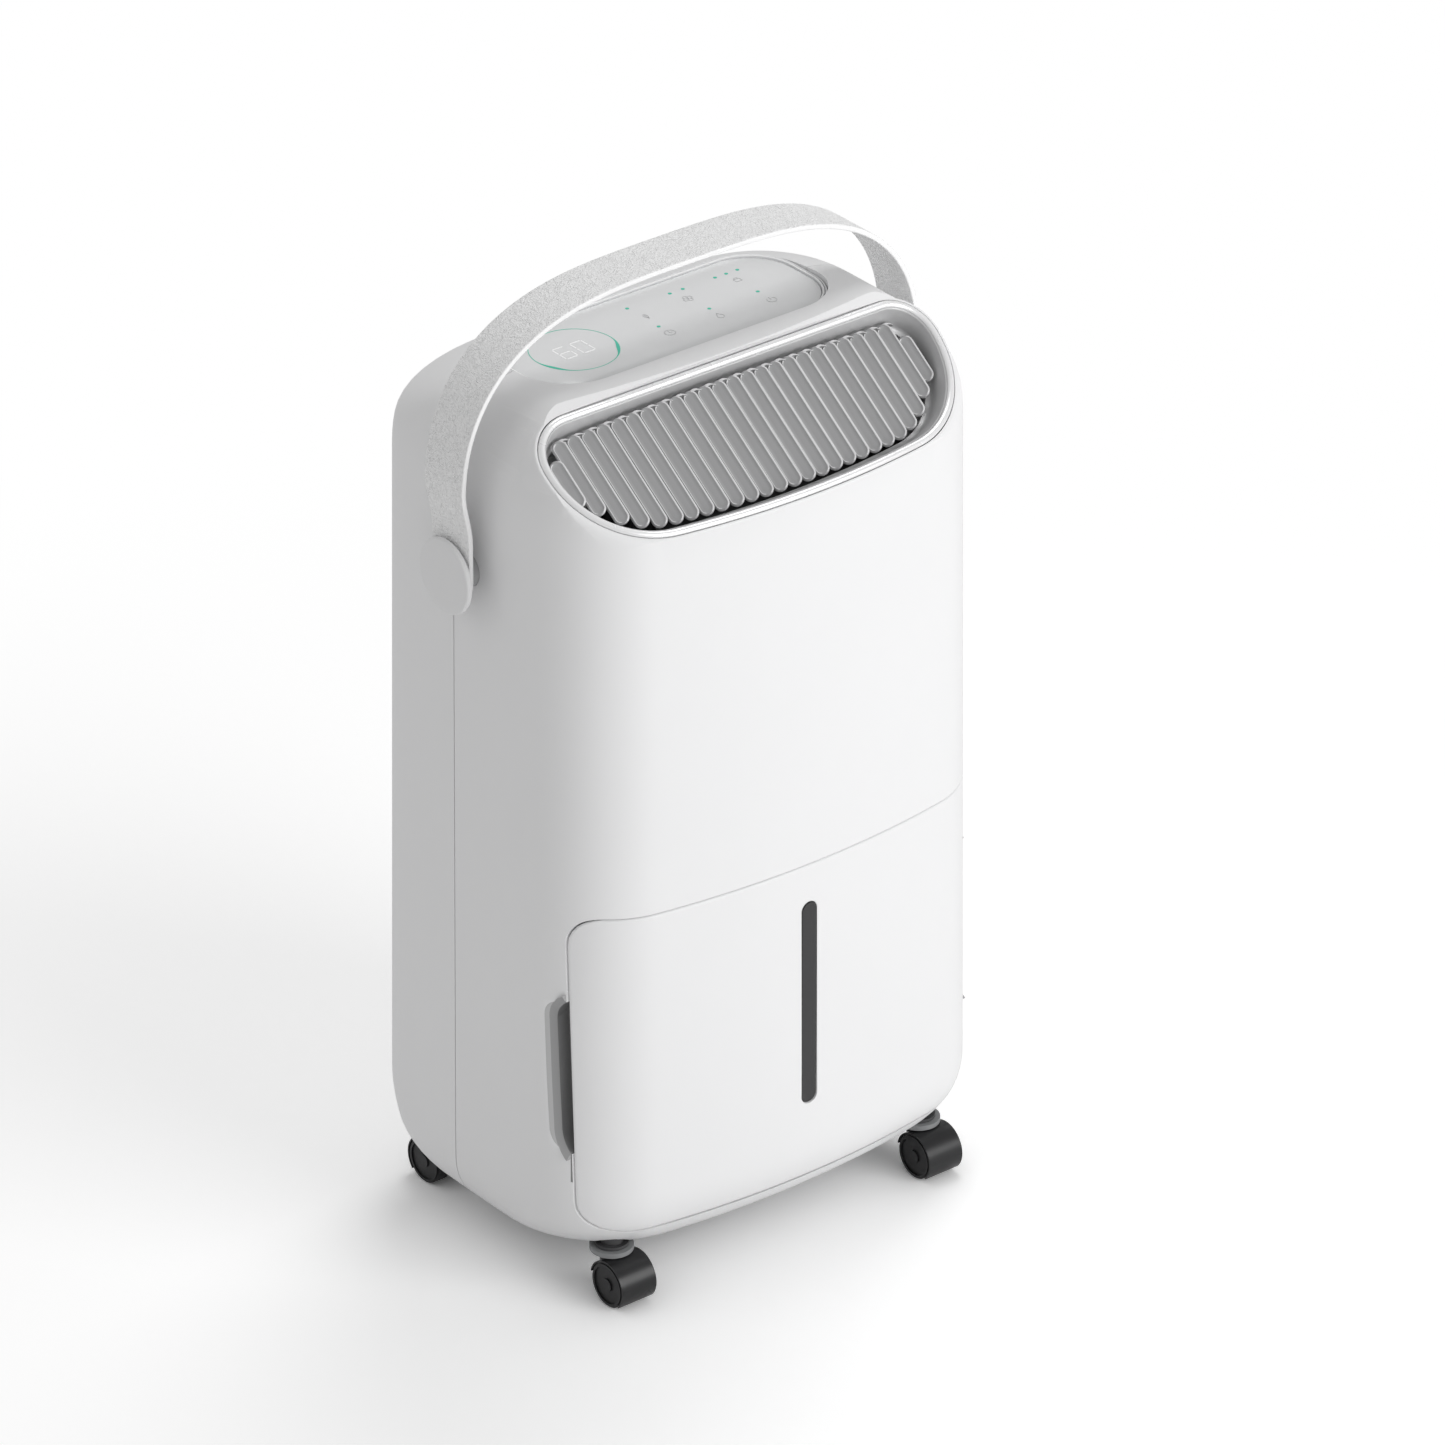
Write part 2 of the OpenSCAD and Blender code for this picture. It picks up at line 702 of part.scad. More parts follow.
module condenser() {
    color(silver) coil(coil_y, 18);
}

// Hairpin bends that join the straight tubes at both ends
module coil_bends() {
    color(copper) for (y = [coil_y + 31.5, coil_y + 9]) {
        for (k = [0:2:5]) translate([coil_x - 4, y, coil_row(k) + 13]) rotate([90, 0, 0]) rotate([0, 0, -90])
            rotate_extrude(angle = 180) translate([13, 0]) circle(3.5, $fn = 32);
        for (k = [1:2:5]) translate([-coil_x + 4, y, coil_row(k) + 13]) rotate([90, 0, 0]) rotate([0, 0, 90])
            rotate_extrude(angle = 180) translate([13, 0]) circle(3.5, $fn = 32);
    }
}

compressor_at = [-10, compressor_y];

function compressor_feet() = [for (x = [-44, 46], y = [-22, 10]) compressor_at + [x, y]];

// Hermetic compressor: domed can on a foot plate
module compressor() {
    r = compressor_d / 2;
    color(black) difference() {
        union() {
            translate(compressor_at) {
                translate([0, 0, 50]) rotate_extrude() polygon(concat([[0, 0], [r - 8, 0]],
                    [for (a = [-90:15:0]) [r - 8 + 8 * cos(a), 8 + 8 * sin(a)]],
                    [for (a = [0:10:90]) [r - 20 + 20 * cos(a), 150 + 20 * sin(a)]], [[0, 170]]));
                translate([0, 0, 219]) cylinder(r = 9, h = 8);
            }
            translate([compressor_at[0], compressor_at[1], 47.4]) linear_extrude(3)
                round_plan(56, -31, 20, 10, 10);
        }
        for (p = compressor_feet()) translate([p[0], p[1], 40]) cylinder(r = 5.2, h = 20);
    }
}

// Rubber mounts under the compressor foot
module compressor_mounts() {
    color(black) for (p = compressor_feet()) translate([p[0], p[1], 0]) difference() {
        union() {
            translate([0, 0, base_z + base_t + 5]) cylinder(r = 8, h = 9.5);
            translate([0, 0, 46]) cylinder(r = 5, h = 8);
            translate([0, 0, 50.5]) cylinder(r = 7, h = 3);
        }
        translate([0, 0, 30]) cylinder(r = 2.4, h = 40);
    }
}

module accumulator() {
    color(black) translate([52, compressor_y + 2, 66]) rotate_extrude() polygon([[0, 0], [8, 0], [16, 10], [16, 96],
        [8, 108], [5, 108], [5, 112], [0, 112]]);
}

// A pipe that runs through a list of points with round elbows
module pipe(points, r) {
    for (i = [0:len(points) - 2]) let (a = points[i], d = points[i + 1] - a, h = norm(d))
        translate(a) rotate([0, acos(d[2] / h), atan2(d[1], d[0])]) cylinder(r = r, h = h, $fn = 24);
    for (i = [1:len(points) - 2]) translate(points[i]) sphere(r = r * 1.04, $fn = 24);
}

module refrigerant_pipes() {
    rear = coil_y + 31.5;
    front = coil_y + 9;
    can = compressor_y;
    side = compressor_y + 2;
    low = coil_row(0);
    high = coil_row(6);
    end = coil_x - 3.8;
    color(copper) {
        pipe([[-30, can, 220.2], [-30, can, 240], [-riser_x, can, 240], [-riser_x, front, low],
            [-end, front, low]], 3);
        pipe([[52, side, 178.3], [52, side, 238], [riser_x, side, 238], [riser_x, side, 276],
            [riser_x, rear, 300], [riser_x, rear, high], [end, rear, high]], 3.4);
        pipe([[52, side, 65.7], [52, side, 60], [31, side, 60], [31, side, 80], [26.3, side, 80]], 3.6);
        pipe([[end, front, high], [110, front, high], [110, front, 484], [-riser_x + 3, rear, 484],
            [-riser_x + 3, rear, low], [-end, rear, low]], 1.6);
    }
}

// ---------- fan ----------

// Spiral radius of the scroll at angle a
function scroll_r(a) = fan_d / 2 + 7 + 22 * a / 360;

module scroll_plan(t) {
    polygon(concat([for (a = [0:9:180]) let (r = scroll_r(a) + t) [-r * cos(a), -r * sin(a)]],
        [[scroll_r(180) + t, 98], [-scroll_r(0) - t, 98]]));
}

// Spiral housing round the fan wheel, open at the top and at the coil side
module fan_scroll() {
    color(satin) translate([0, fan_y + fan_w / 2 + 6, fan_z]) rotate([90, 0, 0]) difference() {
        union() {
            linear_extrude(fan_w + 12) scroll_plan(2);
            for (s = [-1, 1]) translate([s * 70 - 10, deck_z - fan_z + fit_gap, 8]) cube([20, 50, fan_w - 4]);
        }
        translate([0, 0, 2]) linear_extrude(fan_w + 8) scroll_plan(0);
        translate([-scroll_r(0), 60, 2]) cube([scroll_r(0) + scroll_r(180), 60, fan_w + 8]);
        translate([0, 0, -1]) cylinder(r = fan_d / 2 - 12, h = 5);
        translate([0, 0, fan_w + 8]) cylinder(r = 34, h = 8);
    }
}

// Squirrel-cage wheel with forward-curved blades
module fan_wheel() {
    r = fan_d / 2;
    color(grey) translate([0, fan_y - fan_w / 2, fan_z]) rotate([-90, 0, 0]) difference() {
        union() {
            cylinder(r = r, h = 2);
            translate([0, 0, 1]) cylinder(r1 = 32, r2 = 12, h = 22);
            for (i = [0:fan_blades - 1]) rotate(i * 360 / fan_blades) translate([r - 13, 0, 1])
                rotate(24) cube([13.5, 1.6, fan_w - 2]);
            translate([0, 0, fan_w - 3]) difference() {
                cylinder(r = r, h = 3);
                translate([0, 0, -1]) cylinder(r = r - 7, h = 5);
            }
        }
        translate([0, 0, -2]) cylinder(r = pin_r, h = 40);
        translate([0, 0, -0.5]) cylinder(r1 = 27, r2 = 9, h = 17);
    }
}

module fan_shaft() {
    color(silver) translate([0, 0, fan_z]) {
        translate([0, motor_front + 12, 0]) rotate([-90, 0, 0]) cylinder(r = pin_r, h = fan_y - motor_front + 8);
        translate([0, fan_y + 1.2, 0]) rotate([-90, 0, 0]) cylinder(r = 7, h = 6, $fn = 6);
    }
}

module fan_motor() {
    color(black) translate([0, motor_front, fan_z]) rotate([-90, 0, 0]) difference() {
        union() {
            cylinder(r = 20, h = 52);
            translate([0, 0, 6]) cylinder(r = 38, h = 36);
            for (i = [0:11]) rotate(i * 30) translate([37, -1.2, 8]) cube([3.4, 2.4, 32]);
        }
        translate([0, 0, 11.5]) cylinder(r = pin_r + run_gap, h = 60);
        translate([0, 0, 20]) cylinder(r = 9, h = 12);
    }
}

// Plate that holds the motor on the closed side of the scroll
module motor_bracket() {
    y = fan_y - fan_w / 2 - 8.3;
    color(silver) {
        translate([0, y, fan_z]) rotate([-90, 0, 0]) difference() {
            union() {
                cylinder(r = 33.7, h = 2);
                for (a = [45:90:315]) rotate(a) translate([0, -7, 0]) cube([52, 14, 2]);
            }
            translate([0, 0, -1]) cylinder(r = 20.3, h = 4);
        }
        for (a = [45:90:315]) translate([48 * cos(a), y, fan_z + 48 * sin(a)]) rotate([90, 0, 0]) {
            cylinder(r = 4, h = 12.3);
        }
        translate([0, motor_front + 42.3, fan_z]) rotate([-90, 0, 0]) difference() {
            cylinder(r = 54, h = 2);
            translate([0, 0, -1]) cylinder(r = 20.3, h = 4);
        }
    }
}

// Guide from the scroll mouth to the outlet dish
module outlet_duct() {
    x1 = scroll_r(180);
    x0 = scroll_r(0);
    y1 = fan_y + fan_w / 2 + 6;
    y0 = fan_y - fan_w / 2 - 6;
    z = fan_z + 98.3;
    color(satin) translate([-x0 - 2, 0, 0]) rotate([90, 0, 90]) difference() {
        linear_extrude(x0 + x1 + 4) polygon([[y0, z], [y1, z], [y1, z + 44], [y1 - 24, z + 56],
            [-36, z + 56], [-84, z + 14], [-84, z]]);
        translate([0, 0, 2]) linear_extrude(x0 + x1) polygon([[y0 + 2, z - 1], [y1 - 2, z - 1],
            [y1 - 2, z + 43], [y1 - 25, z + 54], [-36, z + 54], [-50, z + 75], [-100, z + 30],
            [-82, z + 10], [-82, z + 2], [y0 + 2, z + 2]]);
    }
}

// ---------- electrics ----------

module power_box() {
    color(grey) translate([100, coil_y - 8.5, base_z + base_t]) difference() {
        round_box([38, 40, 118], 4);
        translate([0, 0, 2]) round_box([34, 36, 114], 3);
        translate([-30, -8, 90]) cube([20, 16, 10]);
    }
}

module run_capacitor() {
    color(silver) translate([-84, compressor_y - 2, base_z + base_t]) {
        cylinder(r = 17, h = 62);
        for (x = [-6, 6]) translate([x - 0.5, -3, 61]) cube([1, 6, 9]);
    }
}

// Reed switch on the bay wall that senses the tank and its float
module tank_sensor() {
    color(black) translate([-60, bay_back + 2, 206]) {
        cube([34, 7, 16]);
        translate([12, 6, 4]) cube([8, 4, 8]);
    }
}

module humidity_sensor() {
    color(white) translate([half_w - 40, half_d - 16.5, 420]) difference() {
        cube([10, 8, 22]);
        for (z = [3:4:15]) translate([2, -1, z]) cube([6, 3, 2]);
    }
}

// ---------- rear fittings ----------

// Hose spout for continuous draining, reached from the rear
module drain_spout() {
    color(grey) translate([70, half_d - 113.5, 96]) rotate([-90, 0, 0]) difference() {
        union() {
            translate([0, 0, 84]) cylinder(r = 7, h = 27.5);
            translate([0, 0, 104]) cylinder(r = 8, h = 7.8);
            translate([0, 0, 107.3]) cylinder(r = 11, h = 3);
            translate([0, 0, 84]) cylinder(r = 8.5, h = 6);
        }
        translate([0, 0, 87]) cylinder(r = 5, h = 40);
    }
}

// Push-in stopper for the drain spout
module drain_plug() {
    color(black) translate([70, half_d - 113.5, 96]) rotate([-90, 0, 0]) {
        translate([0, 0, 98]) cylinder(r = 4.7, h = 14);
        translate([0, 0, 111.9]) cylinder(r = 7.2, h = 1.5);
    }
}

// Bare gland where a supply lead would enter
module power_inlet() {
    color(grey) translate([-78, half_d - 113.5, 104]) rotate([-90, 0, 0]) difference() {
        union() {
            translate([0, 0, 104]) cylinder(r = 9, h = 8.6);
            translate([0, 0, 106.2]) cylinder(r = 12, h = 4.2);
        }
        translate([0, 0, 90]) cylinder(r = 4, h = 19);
    }
}

module shell_screws() {
    color(silver) shell_screw_places() difference() {
        union() {
            translate([0, 0, -14]) cylinder(r = 1.9, h = 15);
            cylinder(r = 3.6, h = 2.4);
        }
        translate([0, 0, 1.2]) rotate(45) {
            translate([-2.4, -0.5, 0]) cube([4.8, 1, 2]);
            translate([-0.5, -2.4, 0]) cube([1, 4.8, 2]);
        }
    }
}

// ---------- handle ----------

// Outward swell of the strap at the fraction r of its rise; none under the caps
function strap_swell(r) = let (u = max(0, min(1, (r - 0.14) / 0.24))) 6.9 * sin(180 * r) * u * u * (3 - 2 * u);

// Middle line of the strap: a rounded arch whose sides swell out above the pivots
function strap_point(a) = let (c = cos(a), s = sin(a), r = pow(s, 2 / 3.4))
    [sign(c) * (pow(abs(c), 2 / 3.4) * strap_half + strap_swell(r)), strap_rise * r];

function strap_side(d) = [for (i = [0:48]) let (a = 180 * i / 48,
        p = strap_point(a), q0 = strap_point(max(0, a - 1)), q1 = strap_point(min(180, a + 1)),
        n = [q1[1] - q0[1], q0[0] - q1[0]] / norm(q1 - q0))
        i == 0 || i == 48 ? [p[0] + (p[0] > 0 ? d : -d), 0] : p + d * n];

module strap() {
    outer = strap_side(strap_t / 2);
    inner = strap_side(-strap_t / 2);
    color(silver) difference() {
        union() {
            translate([0, pivot_y + strap_w / 2, pivot_z]) rotate([90, 0, 0]) linear_extrude(strap_w)
                polygon(concat(outer, [for (i = [48:-1:0]) inner[i]]));
            mirror_x() translate([strap_half - strap_t / 2, pivot_y, pivot_z]) rotate([0, 90, 0])
                cylinder(r = strap_w / 2, h = strap_t);
        }
        translate([-200, pivot_y, pivot_z]) rotate([0, 90, 0]) cylinder(r = 5.2, h = 400);
    }
}

// Thin round caps over the strap ends
module strap_caps() {
    x = strap_half + strap_t / 2;
    color(silver) mirror_x() translate([0, pivot_y, pivot_z]) rotate([0, 90, 0]) difference() {
        translate([0, 0, x + 0.3]) rotate_extrude() polygon([[0, 0], [16, 0], [16, 1.4], [cap_d / 2 - 0.8, 1.4],
            [cap_d / 2, 2], [cap_d / 2, 4], [cap_d / 2 - 1, 5], [0, 5.4]]);
        translate([0, 0, x - 1]) cylinder(r = 5.2, h = 4);
    }
}

// Shouldered pins that join strap, caps and bushes
module pivot_pins() {
    x0 = level(pivot_z)[0] - wall - fit_gap - 3.2;
    x1 = strap_half + strap_t / 2;
    color(silver) mirror_x() translate([0, pivot_y, pivot_z]) rotate([0, 90, 0]) {
        translate([0, 0, x0]) cylinder(r = pin_r, h = x1 - x0 + 2);
        translate([0, 0, x0 - 2]) cylinder(r = 7, h = 2);
    }
}

// Bushes fixed in the shell sides; the pins turn in them
module handle_bushes() {
    x0 = level(pivot_z)[0] - wall - fit_gap - 2.6;
    x1 = strap_half - strap_t / 2 - fit_gap;
    color(silver) mirror_x() translate([0, pivot_y, pivot_z]) rotate([0, 90, 0]) difference() {
        union() {
            translate([0, 0, x0]) cylinder(r = 10.8, h = x1 - x0);
            translate([0, 0, x0]) cylinder(r = 16, h = 2.6);
        }
        translate([0, 0, x0 - 1]) cylinder(r = pin_r + run_gap, h = 40);
    }
}

// ---------- tank ----------

module tub_plan(t) {
    round_plan(tub_w / 2 - t, tub_front + t, tub_back - t, 54 - t, 12 - t);
}

// Body of the tub from height z up, set in by t, with sloped lower sides that clear the opening
module tub_form(t, z) {
    x = tub_w / 2 - t;
    difference() {
        translate([0, 0, z]) linear_extrude(tub_top - z) tub_plan(t);
        mirror_x() translate([0, 100, 0]) rotate([90, 0, 0]) linear_extrude(260)
            polygon([[x - 30, bay_z - 1], [x + 1, bay_z + 30], [x + 20, bay_z + 30], [x + 20, bay_z - 1]]);
    }
}

// Outer panel of the tank, shaped like the body, with stays to the tub
module tank_front() {
    color(white) difference() {
        union() {
            intersection() {
                difference() {
                    body_form();
                    body_form(2.8);
                }
                tank_region(0);
            }
            for (z = [86, 224]) translate([0, 0, z]) linear_extrude(3) intersection() {
                level_plan(z, 1.4);
                translate([-170, -half_d - 16.5]) square([340, 48]);
            }
        }
        translate([0, 0, 40]) linear_extrude(240) tub_plan(-0.3);
        translate([0, tub_front + 11, window_z]) rotate([90, 0, 0]) {
            linear_extrude(60) window_plan(0);
            linear_extrude(18.9) window_plan(4.4);
        }
    }
}

// Upright slot with round ends, set out by t
module window_plan(t) {
    w = window_w / 2;
    translate([-w - t, -window_h / 2 + w]) square([2 * (w + t), window_h - 2 * w]);
    for (s = [-1, 1]) translate([0, s * (window_h / 2 - w)]) circle(w + t);
}

// Dark lens behind the slot
module tank_window() {
    color(black) translate([0, tub_front - 0.3, window_z]) rotate([90, 0, 0]) {
        linear_extrude(10.2) window_plan(-0.2);
        linear_extrude(7.4) window_plan(4);
    }
}

module tank_tub() {
    color([0.75, 0.78, 0.8]) difference() {
        union() {
            tub_form(0, bay_z + 0.9);
            translate([0, 0, tub_top - 3]) linear_extrude(3) tub_plan(-1.6);
        }
        tub_form(2.2, bay_z + 3.1);
        translate([0, 0, tub_top - 1]) linear_extrude(2) tub_plan(2.2);
    }
    color([0.75, 0.78, 0.8]) mirror_x() difference() {
        translate([92, -3, 210]) cube([5, 12, 30]);
        translate([90, 3, 232]) rotate([0, 90, 0]) cylinder(r = 2 + run_gap, h = 10);
    }
    color([0.75, 0.78, 0.8]) mirror_x() translate([92, 3, 210]) cube([4, tub_back - 4, 16]);
}

module tank_lid() {
    color(white) difference() {
        union() {
            translate([0, 0, tub_top + 0.3]) linear_extrude(2.2) tub_plan(-1.6);
            translate([0, 0, tub_top - 5]) linear_extrude(6) difference() {
                tub_plan(2.5);
                tub_plan(4.3);
            }
            for (x = [-60, 0, 60]) translate([x - 1.2, -80, tub_top + 2.4]) cube([2.4, 60, 2]);
        }
        translate([-20, -8, tub_top - 8]) cube([40, 20, 20]);
        translate([78, -88, tub_top - 8]) cylinder(r = 8, h = 20);
    }
}

// Float lever on its pivot rod
module float_arm() {
    color(grey) {
        translate([-98, 3, 232]) rotate([0, 90, 0]) cylinder(r = 2, h = 196);
        translate([-40, -44.7, 205]) cube([20, 4, 18]);
        translate([-33, 0, 229]) cube([6, 6, 6]);
        translate([-33, -41, 220]) rotate([atan2(12, 44), 0, 0]) cube([6, 45.6, 3]);
    }
}

module float_block() {
    color(white) translate([-30, -60, 196]) round_box([60, 30, 18], 6);
}

// ---------- intake ----------

// Louvred cassette in the rear face; it draws straight out with the mesh
module intake_grille() {
    y1 = half_d - 4.1;
    h = coil_z1 - coil_z0 + 10.8;
    color(white) difference() {
        union() {
            translate([0, y1, coil_z0 - 5.4]) rotate([90, 0, 0]) linear_extrude(8.4) difference() {
                round_plan(coil_x + 5.4, 0, h, 13.4, 13.4);
                round_plan(coil_x - 1, 6.4, h - 6.4, 8, 8);
            }
            for (z = [coil_z0 + 7:8.6:coil_z1 - 4]) translate([-coil_x, y1 - 1.4, z]) rotate([-28, 0, 0])
                translate([0, -5.5, -0.9]) cube([2 * coil_x, 6, 1.8]);
            for (x = [-70:35:70]) translate([x - 1, y1 - 8.4, coil_z0]) cube([2, 3.4, coil_z1 - coil_z0]);
        }
        translate([-22, y1 - 3, coil_z1 - 1.6]) cube([44, 6, 4.4]);
    }
}

module filter_mesh() {
    y = half_d - 14.9;
    color([0.2, 0.22, 0.24]) {
        translate([-coil_x + 1, y, coil_z0 + 1]) cube([2 * coil_x - 2, 0.8, coil_z1 - coil_z0 - 2]);
        for (x = [-70:35:70]) translate([x - 0.9, y - 0.1, coil_z0 + 1]) cube([1.8, 2.1, coil_z1 - coil_z0 - 2]);
        for (z = [coil_z0 + 30:30:coil_z1 - 10])
            translate([-coil_x + 1, y - 0.1, z]) cube([2 * coil_x - 2, 2.1, 1.8]);
    }
}

// ---------- casters ----------

// Hooded body and stem of a caster; the stem stands at the origin, the wheels trail to -y
module caster_hood() {
    r = wheel_r + 1.2;
    zc = wheel_r;
    color(black) difference() {
        union() {
            translate([0, -caster_trail, zc]) rotate([0, 90, 0]) translate([0, 0, -wheel_span / 2])
                cylinder(r = r, h = wheel_span);
            translate([0, 0, zc + 8]) cylinder(r = 7, h = base_z - fit_gap - zc - 8);
            translate([0, 0, zc + 14.2]) cylinder(r = pin_r, h = base_z - zc - 1.2);
        }
        translate([0, -caster_trail, zc]) {
            for (s = [-1, 1]) translate([s > 0 ? 2.2 : -20 - 2.2, 0, 0]) rotate([0, 90, 0])
                cylinder(r = wheel_r + 0.35, h = 20);
            rotate([90, 0, 90]) translate([0, 0, -20]) linear_extrude(40) difference() {
                polygon([[-3, -3], [-15, -14], [-30, -40], [40, -40], [40, 3], [12, 3]]);
                circle(5);
            }
            rotate([0, 90, 0]) translate([0, 0, -5]) cylinder(r = axle_r + run_gap, h = 10);
        }
    }
}

// Pair of wheels on their axle
module caster_wheels() {
    color(black) translate([0, -caster_trail, wheel_r]) rotate([0, 90, 0]) {
        translate([0, 0, -wheel_span / 2 + 1]) cylinder(r = axle_r, h = wheel_span - 2);
        for (s = [0, 1]) mirror([0, 0, s]) translate([0, 0, 2.6]) difference() {
            union() {
                translate([0, 0, 0.8]) cylinder(r = wheel_r, h = wheel_span / 2 - 4.2);
                cylinder(r = wheel_r - 0.8, h = wheel_span / 2 - 2.6);
            }
            translate([0, 0, wheel_span / 2 - 3.6]) difference() {
                cylinder(r = wheel_r - 2.4, h = 4);
                translate([0, 0, -1]) cylinder(r = 4, h = 6);
            }
        }
    }
}

module at_caster(sx, front) {
    translate([sx * caster_x, front ? caster_front_y : caster_rear_y, 0]) rotate(front ? 0 : 180) children();
}

front_shell();
rear_shell();
base_plate();
caster_sockets();
tank_bay();
grille_ring();
grille_dish();
grille_slats();
panel_bezel();
touch_panel();
display_ring();
display_digits();
status_leds();
control_board();
drip_tray();
evaporator();
condenser();
coil_bends();
compressor();
accumulator();
refrigerant_pipes();
compressor_mounts();
fan_scroll();
fan_motor();
motor_bracket();
outlet_duct();
power_box();
run_capacitor();
tank_sensor();
humidity_sensor();
drain_spout();
drain_plug();
power_inlet();
handle_bushes();
shell_screws();
fan_wheel();
fan_shaft();
strap();
strap_caps();
pivot_pins();
tank_front();
tank_tub();
tank_window();
tank_lid();
float_arm();
float_block();
intake_grille();
filter_mesh();
at_caster(-1, true) caster_hood();  // caster_front_left
at_caster(1, true) caster_hood();  // caster_front_right
at_caster(-1, false) caster_hood();  // caster_rear_left
at_caster(1, false) caster_hood();  // caster_rear_right
at_caster(-1, true) caster_wheels();  // wheels_front_left
at_caster(1, true) caster_wheels();  // wheels_front_right
at_caster(-1, false) caster_wheels();  // wheels_rear_left
at_caster(1, false) caster_wheels();  // wheels_rear_right
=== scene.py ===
"""Portable dehumidifier: finished pieces, materials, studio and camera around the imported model."""

import json
import math

import bmesh
import bpy
import numpy as np
from bpy.props import FloatProperty, FloatVectorProperty, IntProperty, PointerProperty
from mathutils import Matrix, Vector


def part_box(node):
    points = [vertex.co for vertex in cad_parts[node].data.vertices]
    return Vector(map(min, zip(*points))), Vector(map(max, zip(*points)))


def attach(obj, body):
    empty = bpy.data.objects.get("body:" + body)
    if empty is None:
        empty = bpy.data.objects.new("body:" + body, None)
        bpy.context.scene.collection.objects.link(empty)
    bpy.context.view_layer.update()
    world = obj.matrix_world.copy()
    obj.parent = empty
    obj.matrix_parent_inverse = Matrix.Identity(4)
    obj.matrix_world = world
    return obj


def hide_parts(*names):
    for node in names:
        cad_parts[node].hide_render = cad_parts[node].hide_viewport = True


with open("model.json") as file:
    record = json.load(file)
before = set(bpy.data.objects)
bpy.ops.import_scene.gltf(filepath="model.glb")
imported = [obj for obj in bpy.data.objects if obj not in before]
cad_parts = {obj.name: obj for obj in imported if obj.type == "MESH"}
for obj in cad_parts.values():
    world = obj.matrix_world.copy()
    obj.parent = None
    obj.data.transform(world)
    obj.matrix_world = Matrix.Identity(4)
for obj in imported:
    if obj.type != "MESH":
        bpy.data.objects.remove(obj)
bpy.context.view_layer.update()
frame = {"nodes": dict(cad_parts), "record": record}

bl_info = {
    "name": "Portable dehumidifier",
    "version": (1, 0, 0),
    "blender": (4, 5, 0),
    "location": "3D View > Sidebar > Dehumidifier",
    "description": "Builds a portable dehumidifier with tank, louvred outlet, strap handle and casters",
    "category": "Object",
}

MM = 0.001


def node_box(node):
    """Lowest and highest corner of a node of the frame, in millimetres."""
    low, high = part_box(node)
    return np.array(low) / MM, np.array(high) / MM


# ---------------------------------------------------------------- settings


def length(name, text, value):
    """A length setting kept in metres, given here in millimetres."""
    return FloatProperty(name=name, description=text, default=value * MM, unit="LENGTH", subtype="DISTANCE")


def angle(name, text, value):
    """An angle setting, given here in degrees."""
    return FloatProperty(name=name, description=text, default=math.radians(value), subtype="ANGLE")


def paint(name, text, value):
    """A colour setting, linear red, green, blue and alpha."""
    return FloatVectorProperty(
        name=name, description=text, default=(*value, 1.0), size=4, min=0.0, max=1.0, subtype="COLOR"
    )


BODY_LOW = np.minimum(node_box("front_shell")[0], node_box("rear_shell")[0])
BODY_HIGH = np.maximum(node_box("front_shell")[1], node_box("rear_shell")[1])
TANK_LOW, TANK_HIGH = node_box("tank_front")
STRAP_LOW, STRAP_HIGH = node_box("strap")
CAP_LOW, CAP_HIGH = node_box("strap_caps")
PANEL_LOW, PANEL_HIGH = node_box("touch_panel")


class DehumidifierBody(bpy.types.PropertyGroup):
    """Sizes of the moulded body."""

    width: length("Width", "Width at the widest level", BODY_HIGH[0] - BODY_LOW[0])
    depth: length("Depth", "Depth at the deepest level", BODY_HIGH[1] - BODY_LOW[1])
    bottom: length("Underside", "Height of the underside above the floor", BODY_LOW[2])
    top: length("Top", "Height of the top above the floor", BODY_HIGH[2])
    wall: length("Wall", "Thickness of the moulded walls", 2.6)
    front_corner: length("Front corners", "Plan radius of the front corners", 57)
    rear_corner: length("Rear corners", "Plan radius of the rear corners", 38)
    bulge: length("Front bulge", "Plan radius of the bulged front", 600)
    seam: length("Seam", "Depth at which the two covers meet", 25.5)


class DehumidifierOutlet(bpy.types.PropertyGroup):
    """Sizes of the sloped louvred outlet."""

    slope_start: length("Slope start", "Depth at which the slope meets the top", -32)
    slope_angle: angle("Slope", "Angle of the outlet below level", 38.7)
    arch: length("Arch", "Radius of the sideways arch of the outlet face", 1240)
    width: length("Width", "Width over the trim ring", 283)
    drop: length("Length", "Length of the outlet down the slope", 96.7)
    pitch: length("Blade pitch", "Spacing of the blades", 10.15)
    blade_width: length("Blade width", "Width of one blade", 9.3)
    blade_thick: length("Blade thickness", "Thickness of one blade", 2.5)
    blade_tilt: angle("Blade tilt", "Twist of each blade about its length", 33)
    blade_lean: angle("Blade lean", "Lean of the blades to the side on the outlet face", 3)
    blades: IntProperty(name="Blades", description="Number of full blades", default=24, min=8, max=30)


class DehumidifierPaint(bpy.types.PropertyGroup):
    """Colours of the main finishes."""

    white: paint("Body", "Moulded white of the covers and tank", (0.82, 0.82, 0.825))
    silver: paint("Ring", "Bright satin paint of the outlet ring", (0.90, 0.90, 0.905))
    slat: paint("Blades", "Satin grey of the louvre blades", (0.44, 0.44, 0.445))
    dish: paint("Dish", "Satin grey of the outlet dish", (0.62, 0.62, 0.625))
    panel: paint("Panel", "Smooth grey film of the touch panel", (0.84, 0.845, 0.85))
    strap: paint("Strap", "Pebbled pale leather of the strap", (0.93, 0.93, 0.93))
    teal: paint("Lights", "Lit teal of the display ring and indicator lights", (0.045, 0.42, 0.30))
    black: paint("Casters", "Moulded black of the casters", (0.012, 0.012, 0.013))


def settings():
    return bpy.context.scene.dehumidifier_body, bpy.context.scene.dehumidifier_outlet


def colours():
    return bpy.context.scene.dehumidifier_paint


# ---------------------------------------------------------------- body form

